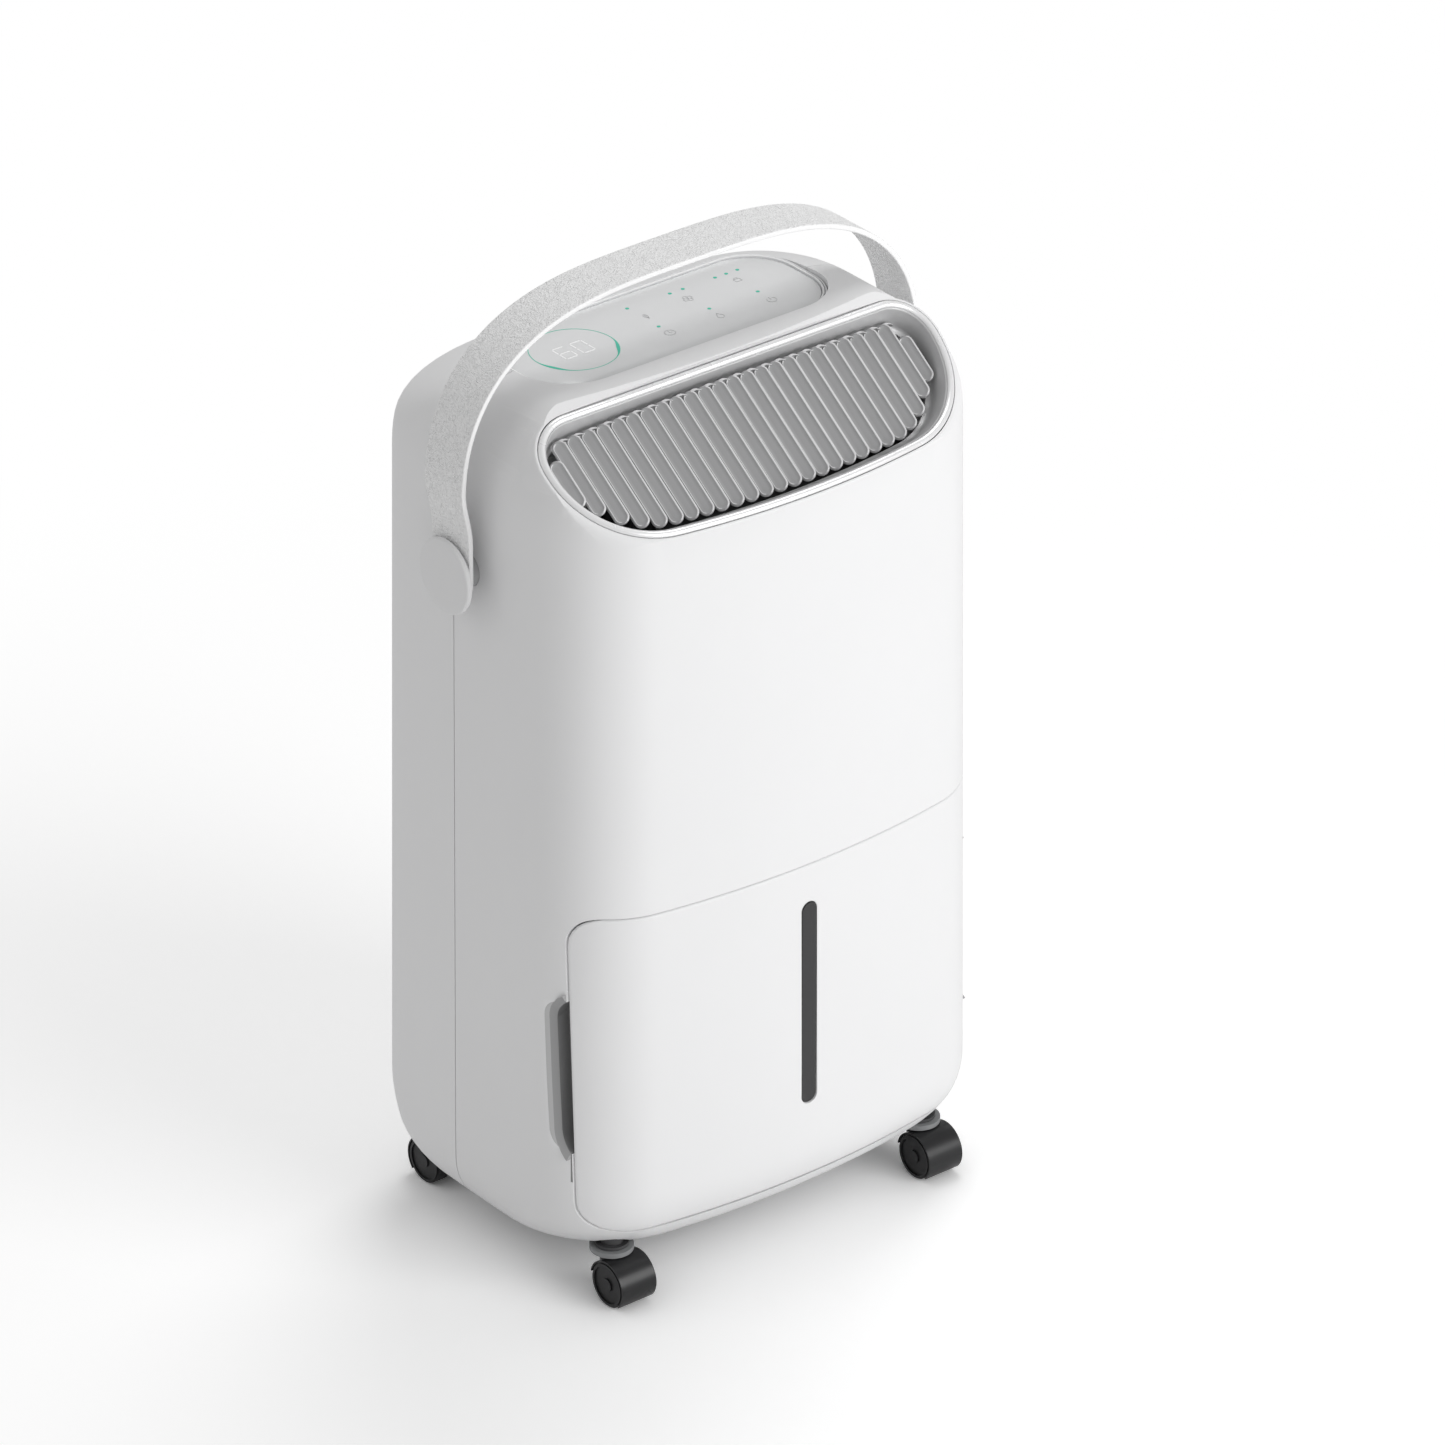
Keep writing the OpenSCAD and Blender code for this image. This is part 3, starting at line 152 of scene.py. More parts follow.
LOW_SIDE, LOW_FRONT, LOW_REAR = (30.5, 35.3), (56.0, 53.4), (53.7, 63.9)
TOP_SIDE, TOP_REAR = (39.0, 61.0), (62.4, 45.9)
LOW_SPREAD = (0.89, 0.25)
WIDEST = 75.0
DRAFT = 0.01


def edge_run(u, size):
    """Inward run of an elliptical edge, u deep into a zone size[1] high and size[0] wide."""
    t = min(1.0, max(0.0, u / size[1]))
    return size[0] * (1.0 - math.sqrt(1.0 - t * t))


def level(z):
    """Half width, front, rear, front corner radius and rear corner radius at the height z."""
    b, _ = settings()
    half_w, half_d = b.width / MM / 2, b.depth / MM / 2
    bottom, top = b.bottom / MM, b.top / MM
    lean = DRAFT * (WIDEST - max(z, WIDEST))
    low = [edge_run(bottom + s[1] - z, s) for s in (LOW_SIDE, LOW_FRONT, LOW_REAR)]
    high = [edge_run(z - top + s[1], s) for s in (TOP_SIDE, TOP_REAR)]
    front = -half_d - lean + low[1]
    rear = half_d + lean - low[2] - high[1]
    rear_r = b.rear_corner / MM + LOW_SPREAD[1] * (low[0] + low[2]) / 2 + (high[0] + high[1]) / 2
    front_r = b.front_corner / MM + LOW_SPREAD[0] * (low[0] + low[1]) / 2
    return half_w + lean - low[0] - high[0], front, rear, min(front_r, rear - front - rear_r - 8.0), rear_r


def arc(centre, radius, start, stop, steps, first=0):
    """Points of an arc; angle 0 points to the front and grows towards +X."""
    angles = [start + (stop - start) * i / steps for i in range(first, steps + 1)]
    return [(centre[0] + radius * math.sin(a), centre[1] - radius * math.cos(a)) for a in angles]


def half_section(z, inset, steps=(16, 22, 20)):
    """Right half of the plan outline at the height z, set in."""
    b, _ = settings()
    bulge = b.bulge / MM
    half, front, rear, front_r, rear_r = level(z)
    cx = half - front_r
    cy = front + bulge - math.sqrt((bulge - front_r) ** 2 - cx * cx)
    by = front + bulge
    turn = math.atan2(cx, by - cy)
    return (
        arc((0.0, by), bulge - inset, 0.0, turn, steps[0])
        + arc((cx, cy), front_r - inset, turn, math.pi / 2, steps[1], 1)
        + arc((half - rear_r, rear - rear_r), rear_r - inset, math.pi / 2, math.pi, steps[2])
    )


def mirrored(half):
    """A half outline joined to its mirror image."""
    return half + [(-x, y) for x, y in half[-1:0:-1]]


def form_heights():
    """Heights of the loft rows, closest where the edges are rounded."""
    b, _ = settings()
    rows = 18
    bottom, top = b.bottom / MM, b.top / MM
    low = [bottom + LOW_REAR[1] * (1 - math.cos(math.pi / 2 * i / rows)) for i in range(rows + 1)]
    high = [top - TOP_SIDE[1] * (1 - math.cos(math.pi / 2 * i / rows)) for i in range(rows, -1, -1)]
    middle = list(np.linspace(low[-1], high[0], 22)[1:-1])
    return low + middle + high


# ---------------------------------------------------------------- mesh helpers


def link(mesh, name):
    obj = bpy.data.objects.new(name, mesh)
    bpy.context.scene.collection.objects.link(obj)
    return obj


def solid(name, points, faces):
    """An object from points in millimetres, its faces turned outwards."""
    mesh = bpy.data.meshes.new(name)
    mesh.from_pydata([tuple(float(c) * MM for c in p) for p in points], [], faces)
    mesh.validate()
    obj = link(mesh, name)
    tidy_faces(obj)
    return obj


def tidy_faces(obj):
    """Merges doubled points and turns the faces outwards."""
    bm = bmesh.new()
    bm.from_mesh(obj.data)
    bmesh.ops.remove_doubles(bm, verts=bm.verts, dist=1e-6)
    bmesh.ops.recalc_face_normals(bm, faces=bm.faces)
    bm.to_mesh(obj.data)
    bm.free()


def stacked(name, rings, caps=True, closed=False):
    """Skin over a list of closed rings of points that all have the same count."""
    n = len(rings[0])
    points = [p for ring in rings for p in ring]
    pairs = list(zip(range(len(rings)), range(1, len(rings))))
    if closed:
        pairs.append((len(rings) - 1, 0))
    faces = []
    for a, b in pairs:
        for i in range(n):
            j = (i + 1) % n
            faces.append((a * n + i, a * n + j, b * n + j, b * n + i))
    if caps and not closed:
        faces.append(tuple(range(n))[::-1])
        faces.append(tuple((len(rings) - 1) * n + i for i in range(n)))
    return solid(name, points, faces)


def extruded(name, outline, low, high):
    """Prism over a plan outline from low to high."""
    return stacked(name, [[(x, y, z) for x, y in outline] for z in (low, high)])


def rectangle(x0, y0, x1, y1):
    return [(x0, y0), (x1, y0), (x1, y1), (x0, y1)]


def block(name, low, high):
    """Box between two corners."""
    return extruded(name, rectangle(low[0], low[1], high[0], high[1]), low[2], high[2])


def lathe(name, profile, steps=64, place=None):
    """Turned solid from (radius, height) points about the Z axis."""
    rings = []
    for r, h in profile:
        ring = []
        for i in range(steps):
            a = 2 * math.pi * i / steps
            ring.append((max(r, 0.001) * math.cos(a), max(r, 0.001) * math.sin(a), h))
        rings.append(ring)
    if place:
        rings = [[place(*p) for p in ring] for ring in rings]
    return stacked(name, rings)


def combine(obj, others, operation="DIFFERENCE"):
    """Boolean of an object with others, which are used up."""
    for other in others:
        modifier = obj.modifiers.new("cut", "BOOLEAN")
        modifier.object = other
        modifier.operation = operation
        modifier.solver = "EXACT"
        bpy.context.view_layer.update()
        made = bpy.data.meshes.new_from_object(obj.evaluated_get(bpy.context.evaluated_depsgraph_get()))
        obj.modifiers.clear()
        old = obj.data
        obj.data = made
        bpy.data.meshes.remove(old)
        bpy.data.objects.remove(other)
    tidy_faces(obj)
    return obj


def joined(obj, others):
    """Adds the meshes of others to an object as separate shells."""
    bm = bmesh.new()
    bm.from_mesh(obj.data)
    for other in others:
        bm.from_mesh(other.data)
        bpy.data.objects.remove(other)
    bm.to_mesh(obj.data)
    bm.free()
    return obj


def finished(obj, material, body, replaced=(), angle=32.0):
    """Gives a piece its shading, material, body and place in the frame."""
    obj.data.materials.clear()
    obj.data.materials.append(material)
    obj.data.shade_smooth()
    obj.data.set_sharp_from_angle(angle=math.radians(angle))
    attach(obj, body)
    if replaced:
        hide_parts(*replaced)
    return obj


def soften(points, radius, steps=4, closed=False):
    """Rounds the corners of a polyline."""
    made = []
    n = len(points)
    for i in range(n):
        p = np.array(points[i], float)
        if not closed and i in (0, n - 1):
            made.append(tuple(p))
            continue
        a = np.array(points[i - 1], float) - p
        b = np.array(points[(i + 1) % n], float) - p
        r = min(radius, 0.49 * np.linalg.norm(a), 0.49 * np.linalg.norm(b))
        a, b = a / np.linalg.norm(a) * r, b / np.linalg.norm(b) * r
        for k in range(steps + 1):
            t = k / steps
            made.append(tuple(p + a * (1 - t) ** 2 + b * t**2))
    return made


def body_form(name, inset):
    """The closed body form, set in all round."""
    b, _ = settings()
    bottom, top = b.bottom / MM, b.top / MM
    span = top - bottom
    rings = []
    for z in form_heights():
        inner = bottom + inset + (z - bottom) * (span - 2 * inset) / span
        rings.append([(x, y, inner) for x, y in mirrored(half_section(z, inset))])
    return stacked(name, rings)


def slope_place(x, y, z):
    """A point given on the outlet face: x sideways, -y down the slope, z outwards."""
    b, o = settings()
    c, s = math.cos(o.slope_angle), math.sin(o.slope_angle)
    return x, o.slope_start / MM + y * c - z * s, b.top / MM + y * s + z * c


def arched_place(x, y, z):
    """As slope_place, with z measured from the arched face."""
    _, o = settings()
    return slope_place(x, y, z - x * x / (2 * o.arch / MM))


def above_slope(name):
    """Everything outside the arched outlet face."""
    _, o = settings()
    arch = o.arch / MM
    profile = []
    for i in range(-40, 41):
        x = 200.0 * i / 40
        profile.append((x, math.sqrt(arch * arch - x * x) - arch))
    profile += [(200.0, 200.0), (-200.0, 200.0)]
    rings = [[slope_place(x, y, z) for x, z in profile] for y in (170.0, -260.0)]
    return stacked(name, rings)


# Radii of the lower edge, the lower corners and the upper corners of the outlet, and its upper edge
OUTLET_EDGE, OUTLET_CORNER, OUTLET_TOP_CORNER, OUTLET_TOP = 700.0, 62.0, 27.0, -1.0


def outlet_outline(inset):
    """Outline of the outlet on its face: bulged lower edge and straight top edge."""
    _, o = settings()
    half, drop = o.width / MM / 2, o.drop / MM
    ly = -drop + OUTLET_EDGE
    cx = half - OUTLET_CORNER
    cy = ly - math.sqrt((OUTLET_EDGE - OUTLET_CORNER) ** 2 - cx * cx)
    turn = math.atan2(cx, ly - cy)
    top_middle = (half - OUTLET_TOP_CORNER, OUTLET_TOP - OUTLET_TOP_CORNER)
    half_line = (
        arc((0.0, ly), OUTLET_EDGE - inset, 0.0, turn, 20)
        + arc((cx, cy), OUTLET_CORNER - inset, turn, math.pi / 2, 22, 1)
        + arc(top_middle, OUTLET_TOP_CORNER - inset, math.pi / 2, math.pi, 12)
    )
    return mirrored(half_line)


def outlet_sweep(name, profile):
    """Sweeps a closed profile of (inset, height) points round the outlet on its arched face."""
    rings = [[arched_place(x, y, h) for x, y in outlet_outline(t)] for t, h in profile]
    return stacked(name, rings, caps=False, closed=True)


def round_plan(half, front, rear, front_r, rear_r, steps=10):
    """Plan outline with round front and rear corners."""
    right = (
        [(0.0, front)]
        + arc((half - front_r, front + front_r), front_r, 0.0, math.pi / 2, steps)
        + arc((half - rear_r, rear - rear_r), rear_r, math.pi / 2, math.pi, steps)
        + [(0.0, rear)]
    )
    return right + [(-x, y) for x, y in right[-2:0:-1]]


# ---------------------------------------------------------------- materials


class Finish:
    """Builds one node-based material on a Principled shader."""

    def __init__(self, name, colour, roughness, metallic=0.0, coat=0.0, ior=1.46):
        self.material = bpy.data.materials.new(name)
        self.material.use_nodes = True
        self.tree = self.material.node_tree
        self.nodes = self.tree.nodes
        self.shader = self.nodes["Principled BSDF"]
        self.shader.inputs["Metallic"].default_value = metallic
        self.shader.inputs["Coat Weight"].default_value = coat
        self.shader.inputs["IOR"].default_value = ior
        self.place = self.nodes.new("ShaderNodeTexCoord")
        self.colour(colour)
        self.rough(roughness)

    def noise(self, scale, detail=3.0, roughness=0.5):
        node = self.nodes.new("ShaderNodeTexNoise")
        node.inputs["Scale"].default_value = scale
        node.inputs["Detail"].default_value = detail
        node.inputs["Roughness"].default_value = roughness
        self.tree.links.new(self.place.outputs["Object"], node.inputs["Vector"])
        return node

    def between(self, value, low, high):
        node = self.nodes.new("ShaderNodeMapRange")
        node.inputs["From Min"].default_value = 0.3
        node.inputs["From Max"].default_value = 0.7
        node.inputs["To Min"].default_value = low
        node.inputs["To Max"].default_value = high
        self.tree.links.new(value, node.inputs["Value"])
        return node.outputs["Result"]

    def colour(self, colour, drift=0.012, scale=14.0):
        """Base colour with a faint cloudy drift."""
        mix = self.nodes.new("ShaderNodeMix")
        mix.data_type = "RGBA"
        rgb = list(colour)[:3]
        mix.inputs["A"].default_value = (*[c * (1 - drift) for c in rgb], 1.0)
        mix.inputs["B"].default_value = (*[min(1.0, c * (1 + drift)) for c in rgb], 1.0)
        self.tree.links.new(self.noise(scale).outputs["Fac"], mix.inputs["Factor"])
        self.tree.links.new(mix.outputs["Result"], self.shader.inputs["Base Color"])

    def rough(self, value, spread=0.035, scale=60.0):
        """Roughness that wanders a little, as moulded and painted faces do."""
        out = self.between(self.noise(scale).outputs["Fac"], value - spread, value + spread)
        self.tree.links.new(out, self.shader.inputs["Roughness"])

    def bump(self, height, strength, distance=0.0002):
        node = self.nodes.new("ShaderNodeBump")
        node.inputs["Strength"].default_value = strength
        node.inputs["Distance"].default_value = distance
        self.tree.links.new(height, node.inputs["Height"])
        if self.shader.inputs["Normal"].is_linked:
            self.tree.links.new(self.shader.inputs["Normal"].links[0].from_socket, node.inputs["Normal"])
        self.tree.links.new(node.outputs["Normal"], self.shader.inputs["Normal"])
        return self

    def grain(self, scale, strength, distance=0.0001):
        """Fine mould grain."""
        return self.bump(self.noise(scale, 2.0).outputs["Fac"], strength, distance)

    def pebbles(self, scale, strength, distance=0.0003):
        """Rounded cells divided by creases, as in pebbled leather."""
        warp = self.nodes.new("ShaderNodeMix")
        warp.data_type = "VECTOR"
        warp.inputs["Factor"].default_value = 0.02
        cells = self.nodes.new("ShaderNodeTexVoronoi")
        cells.feature = "SMOOTH_F1"
        cells.inputs["Scale"].default_value = scale
        cells.inputs["Smoothness"].default_value = 0.6
        self.tree.links.new(self.place.outputs["Object"], warp.inputs["A"])
        self.tree.links.new(self.noise(scale * 0.7).outputs["Color"], warp.inputs["B"])
        self.tree.links.new(warp.outputs["Result"], cells.inputs["Vector"])
        return self.bump(cells.outputs["Distance"], strength, distance)

    def glow(self, colour, strength):
        self.shader.inputs["Emission Color"].default_value = (*list(colour)[:3], 1.0)
        self.shader.inputs["Emission Strength"].default_value = strength
        return self


def material_set():
    """Every finish of the object, by its slot in the record."""
    c = colours()
    m = {}
    m["shell_white"] = Finish("moulded_white", c.white, 0.42).grain(2600.0, 0.10)
    m["ring_silver"] = Finish("ring_satin", c.silver, 0.26, metallic=0.35, coat=0.3).grain(1500.0, 0.05)
    m["slat_grey"] = Finish("slat_satin", c.slat, 0.42, metallic=0.25).grain(3000.0, 0.25)
    m["dish_grey"] = Finish("dish_satin", c.dish, 0.34, metallic=0.25).grain(2500.0, 0.08)
    m["bezel_grey"] = Finish("bezel_satin", (0.82, 0.825, 0.83), 0.36, metallic=0.2).grain(2000.0, 0.06)
    m["panel_face"] = Finish("panel_film", c.panel, 0.22, metallic=0.15, coat=0.25).grain(1200.0, 0.03)
    m["teal_light"] = Finish("teal_lit", c.teal, 0.35).glow(c.teal, 0.25)
    m["white_light"] = Finish("white_lit", (0.85, 0.85, 0.85), 0.35).glow((1.0, 1.0, 1.0), 0.12)
    m["strap_leather"] = Finish("strap_leather", c.strap, 0.55).pebbles(330.0, 1.0, 0.0009).grain(2600.0, 0.3)
    m["strap_edge"] = Finish("strap_edge_paint", (0.93, 0.93, 0.93), 0.38).grain(1800.0, 0.06)
    m["cap_grey"] = Finish("cap_satin", (0.78, 0.78, 0.785), 0.45).grain(2200.0, 0.10)
    m["hub_grey"] = Finish("hub_satin", (0.45, 0.455, 0.46), 0.45).grain(1800.0, 0.08)
    m["caster_black"] = Finish("caster_black", c.black, 0.30).grain(1600.0, 0.10)
    m["wheel_black"] = Finish("wheel_black", (0.014, 0.014, 0.015), 0.42).grain(900.0, 0.14)
    m["base_grey"] = Finish("base_grey", (0.25, 0.255, 0.26), 0.5).grain(1500.0, 0.12)
    m["socket_grey"] = Finish("socket_grey", (0.06, 0.06, 0.062), 0.45).grain(1500.0, 0.10)
    m["inner_grey"] = Finish("inner_grey", (0.26, 0.262, 0.265), 0.6).grain(1200.0, 0.12)
    m["board_green"] = Finish("board_green", (0.015, 0.10, 0.045), 0.3, coat=0.4).grain(700.0, 0.10)
    m["fin_aluminium"] = Finish("fin_aluminium", (0.62, 0.63, 0.64), 0.32, metallic=1.0).grain(900.0, 0.10)
    m["copper_tube"] = Finish("copper_tube", (0.55, 0.24, 0.11), 0.28, metallic=1.0).grain(600.0, 0.08)
    m["can_black"] = Finish("can_black", (0.02, 0.02, 0.022), 0.38, coat=0.3).grain(500.0, 0.12)
    m["rubber_black"] = Finish("rubber_black", (0.02, 0.02, 0.02), 0.75).grain(1400.0, 0.25)
    m["motor_steel"] = Finish("motor_steel", (0.10, 0.102, 0.105), 0.4, metallic=0.5).grain(900.0, 0.12)
    m["zinc_steel"] = Finish("zinc_steel", (0.50, 0.51, 0.52), 0.34, metallic=1.0).grain(1500.0, 0.08)
    m["capacitor_can"] = Finish("capacitor_can", (0.55, 0.56, 0.57), 0.3, metallic=1.0).grain(700.0, 0.08)
    m["small_black"] = Finish("small_black", (0.02, 0.02, 0.021), 0.5).grain(1500.0, 0.12)
    m["fan_grey"] = Finish("fan_grey", (0.05, 0.051, 0.053), 0.5).grain(1200.0, 0.12)
    m["tub_clear"] = Finish("tub_frosted", (0.55, 0.58, 0.60), 0.35).grain(1000.0, 0.10)
    m["tub_clear"].shader.inputs["Transmission Weight"].default_value = 0.35
    m["window_dark"] = Finish("window_smoked", (0.016, 0.016, 0.017), 0.12, coat=0.5).grain(800.0, 0.02)
    m["lid_white"] = Finish("lid_white", (0.74, 0.74, 0.745), 0.45).grain(1800.0, 0.10)
    m["float_foam"] = Finish("float_foam", (0.8, 0.8, 0.8), 0.85).grain(900.0, 0.5)
    m["mesh_dark"] = Finish("mesh_dark", (0.022, 0.024, 0.026), 0.6).grain(1800.0, 0.3)
    # painted shade: darker greys for the stepped walls of the finger recesses
    m["recess_shade_rim"] = Finish("recess_shade_rim", (0.52, 0.52, 0.523), 0.45).grain(1800.0, 0.10)
    m["recess_shade_mid"] = Finish("recess_shade_mid", (0.36, 0.36, 0.363), 0.5).grain(1800.0, 0.10)
    m["recess_shade_deep"] = Finish("recess_shade_deep", (0.23, 0.23, 0.232), 0.5).grain(1800.0, 0.10)
    # painted highlight: lighter grey for the blade faces turned towards the light
    m["slat_highlight"] = Finish("slat_highlight", (0.70, 0.70, 0.705), 0.32, metallic=0.1).grain(2200.0, 0.08)
    # painted shade: near-black for the outlet duct, so the gaps between the blades read dark
    m["duct_shade"] = Finish("duct_shade", (0.02, 0.02, 0.021), 0.6).grain(1200.0, 0.12)
    m["icon_grey"] = Finish("icon_ink", (0.48, 0.485, 0.49), 0.35).grain(1500.0, 0.05)
    return {name: made.material for name, made in m.items()}


MATERIALS = {}


def slot_body(node):
    """Body that a node of the frame rides on."""
    for body, members in frame["record"]["behaviour"]["bodies"].items():
        if node in members:
            return body
    raise ValueError(node)


def slot_name(node):
    for entry in frame["record"]["subparts"]:
        if entry["node"] == node:
            return entry["material_slot"]
    raise ValueError(node)


def replace_node(obj, node, angle=32.0):
    """Finishes a piece that stands for a node of the frame."""
    name = slot_name(node)
    return finished(obj, MATERIALS[name], slot_body(node), (node,), angle)


# ---------------------------------------------------------------- covers

SEAM_GAP = 0.7
PANEL_CORNER = 30.0
SKIRT_TOP = 33.2
WELL_RADIUS = 29.4
STEM_RADIUS, STEM_TOP = 10.6, 51.2
SOCKET_RADIUS = 10.0
PIVOT_BORE = 11.0
INTAKE_GAP = 0.3
SCREW_X = (-112.0, -45.0, 45.0, 112.0)
SLOTS, SLOT_HALF, SLOT_START, SLOT_PITCH, SLOT_TALL = 8, 60.0, 150.0, 12.0, 4.5


def half_space(name, front, rear):
    """Big block that covers everything between two depths."""
    return block(name, (-220.0, front, -20.0), (220.0, rear, 720.0))


def side_cut(name, outline):
    """Prism through the body from a side view outline of (y, z) points."""
    return stacked(name, [[(x, y, z) for y, z in outline] for x in (-220.0, 220.0)])


# Rear edge of the tank front at its lower and upper corners, and the radii of those corners
TANK_REAR = (-77.0, -71.5)
TANK_ROUND = (24.0, 19.0)


def tank_side(grow):
    """Side view of the tank front: leaning rear edges with round corners."""
    low_r, high_r = TANK_ROUND
    y0, y1 = TANK_REAR[0] + grow, TANK_REAR[1] + grow
    z0, z1 = TANK_LOW[2] - grow, TANK_HIGH[2] + grow
    low = [(y0 - low_r + low_r * math.sin(a), z0 + low_r - low_r * math.cos(a))
           for a in np.linspace(0.0, math.pi / 2, 14)]
    high = [(y1 - high_r + high_r * math.cos(a), z1 - high_r + high_r * math.sin(a))
            for a in np.linspace(0.0, math.pi / 2, 12)]
    return [(-150.0, z0)] + low + high + [(-150.0, z1)]


def recess_side(grow):
    """Side view of the finger recess beside the tank front."""
    low_r = 24.0 + grow
    y, z0 = -56.0 + grow, 96.0 - grow
    low = [(y - 4.0 - low_r + low_r * math.sin(a), z0 + low_r - low_r * math.cos(a))
           for a in np.linspace(0.0, math.pi / 2, 14)]
    high = soften([(y - 2.2, 150.0), (y, 198.0 + grow / 2), (y - 5.5, 207.5 + 0.8 * grow),
                   (y - 19.0, 219.0 + grow), (-95.0, 222.0 + grow)], 6.0, 4)
    return [(-95.0, z0)] + low + high


def panel_plan(grow):
    """Outline of the touch panel, grown all round."""
    r = PANEL_CORNER + grow
    return round_plan(PANEL_HIGH[0] + grow, PANEL_LOW[1] - grow, PANEL_HIGH[1] + grow, r, r, 14)


def panel_cutters():
    """Pocket for the bezel and the opening below it."""
    top = PANEL_HIGH[2]
    return [extruded("pocket", panel_plan(3.95), top - 7.3, top + 30),
            extruded("opening", panel_plan(-8.0), top - 20, top + 30)]


def panel_ledge():
    """Ledge that carries the bezel."""
    top = PANEL_HIGH[2]
    return extruded("ledge", panel_plan(6.4), top - 9.8, top - 2.8)


def skirt_cutters():
    """Opening in the underside and wells that let the casters swivel."""
    made = [extruded("skirt", round_plan(119.0, -54.0, 58.0, 30.0, 12.0), -5.0, SKIRT_TOP)]
    for x, y in caster_stems():
        made.append(extruded("well", ring_plan(x, y, WELL_RADIUS), -5.0, SKIRT_TOP))
        made.append(extruded("well_top", ring_plan(x, y, STEM_RADIUS), 20.0, STEM_TOP))
    return made


def ring_plan(x, y, radius, steps=48):
    """Circle about (x, y)."""
    return [(x + radius * math.cos(2 * math.pi * i / steps), y + radius * math.sin(2 * math.pi * i / steps))
            for i in range(steps)]


def caster_stems():
    """Middles of the four caster stems, from the sockets of the frame."""
    low, high = node_box("caster_sockets")
    r = SOCKET_RADIUS
    return [(x, y) for x in (low[0] + r, high[0] - r) for y in (low[1] + r, high[1] - r)]


def side_pin():
    """Cutter for the handle bushes."""
    return side_cut("bores", ring_plan(*handle_axis(), PIVOT_BORE))


def handle_axis():
    """Depth and height of the axis that the strap swings about."""
    return (CAP_LOW[1] + CAP_HIGH[1]) / 2, (CAP_LOW[2] + CAP_HIGH[2]) / 2


class DEHUMIDIFIER_OT_front_cover(bpy.types.Operator):
    """Smooth front cover with its outlet face, tank opening and finger recesses"""

    bl_idname = "dehumidifier.front_cover"
    bl_label = "Front cover"

    def execute(self, context):
        b, _ = settings()
        wall = b.wall / MM
        cover = body_form("front_cover", 0.0)
        inner = body_form("inner", wall)
        combine(cover, [above_slope("air")])
        inner_slope = above_slope("inner_air")
        inner_slope.data.transform(Matrix.Translation(Vector(slope_normal()) * -wall * MM))
        combine(inner, [inner_slope])
        combine(cover, [inner])
        combine(cover, [panel_ledge()] + recess_backs() + [outlet_sweep("shoulder", SHOULDER)], "UNION")
        cutters = [above_slope("air"), edge_cutter(), half_space("rear", b.seam / MM - SEAM_GAP / 2, 300.0),
                   side_cut("tank", tank_side(0.9)), outlet_zone("outlet", -0.3)]
        combine(cover, cutters + panel_cutters() + recess_cutters() + skirt_cutters() + [side_pin()])
        replace_node(cover, "front_shell")
        # painted shade on the stepped walls of the finger recesses
        paint_recess_shade(cover)
        return {"FINISHED"}


def slope_normal():
    _, o = settings()
    return 0.0, -math.sin(o.slope_angle), math.cos(o.slope_angle)


def outlet_zone(name, inset):
    rings = [[slope_place(x, y, z) for x, y in outlet_outline(inset)] for z in (-70.0, 30.0)]
    return stacked(name, rings)


# Sections swept round the outlet: inset from its outline and height above its face
SHOULDER = [(0.6, -17.5), (-4.0, -17.5), (-3.8, -13.5), (-3.5, -9.0), (-3.1, -5.0), (-2.6, -2.4),
            (-2.1, -0.9), (-1.7, -0.25), (-1.2, 0.0), (-1.2, 1.5), (1.0, 1.5)]
EDGE_ROUND = [(-1.2, 2.0), (-1.2, 0.0), (-2.2, -0.15), (-3.4, -0.55), (-4.4, -1.1), (-5.4, -1.85),
              (-6.4, -2.85), (-7.4, -4.1), (-8.4, -5.5), (-9.6, -7.1), (-12.4, -10.4), (-30.0, -28.0),
              (-30.0, 2.0)]


def edge_cutter():
    """Rounds the edge of the outlet face below and beside the trim ring."""
    cutter = outlet_sweep("edge", EDGE_ROUND)
    rings = [[slope_place(x, y, z) for x, y in rectangle(-200, -30, 200, 90)] for z in (-60.0, 40.0)]
    return combine(cutter, [stacked("upper_part", rings)])


def recess_backs():
    """Thickened wall behind each finger recess."""
    made = []
    for s in (-1, 1):
        back = stacked("back", [[(s * x, y, z) for y, z in recess_side(-3.4)] for x in (134.0, 148.8)])
        combine(back, [block("bound", (-160.0, -77.0, 88.0), (160.0, -50.0, 228.0))], "INTERSECT")
        made.append(combine(back, [side_cut("tank", tank_side(1.5))]))
    return made


# Steps of the finger recess: distance from the middle and growth of its side view
RECESS_STEPS = [(168.0, 20.0), (151.6, 0.0), (148.8, -3.4), (148.5, -3.6), (145.8, -6.4), (145.5, -6.6),
                (137.6, -6.8)]


def recess_cutters():
    """Sloped finger recess whose walls step inwards."""
    return [stacked("recess", [[(s * x, y, z) for y, z in recess_side(grow)] for x, grow in RECESS_STEPS])
            for s in (-1, 1)]


def paint_recess_shade(cover):
    """Paints the stepped walls of the finger recesses in darker greys: painted shade, darkest on the deepest
    step.
    """
    shades = ("recess_shade_rim", "recess_shade_mid", "recess_shade_deep")
    for shade in shades:
        cover.data.materials.append(MATERIALS[shade])
    for face in cover.data.polygons:
        x, y, z = abs(face.center.x) / MM, face.center.y / MM, face.center.z / MM
        skin = x > 140.0 and abs(face.normal.x) > 0.88
        low, high = (93.0, 230.0) if x < 147.0 else (95.0, 223.0)
        # faces inside the recess get painted shade, by how deep their step lies
        if 136.5 < x < 153.5 and -95.0 < y < -55.9 and low < z < high and not skin:
            face.material_index = 1 if x > 148.65 else 2 if x > 145.6 else 3


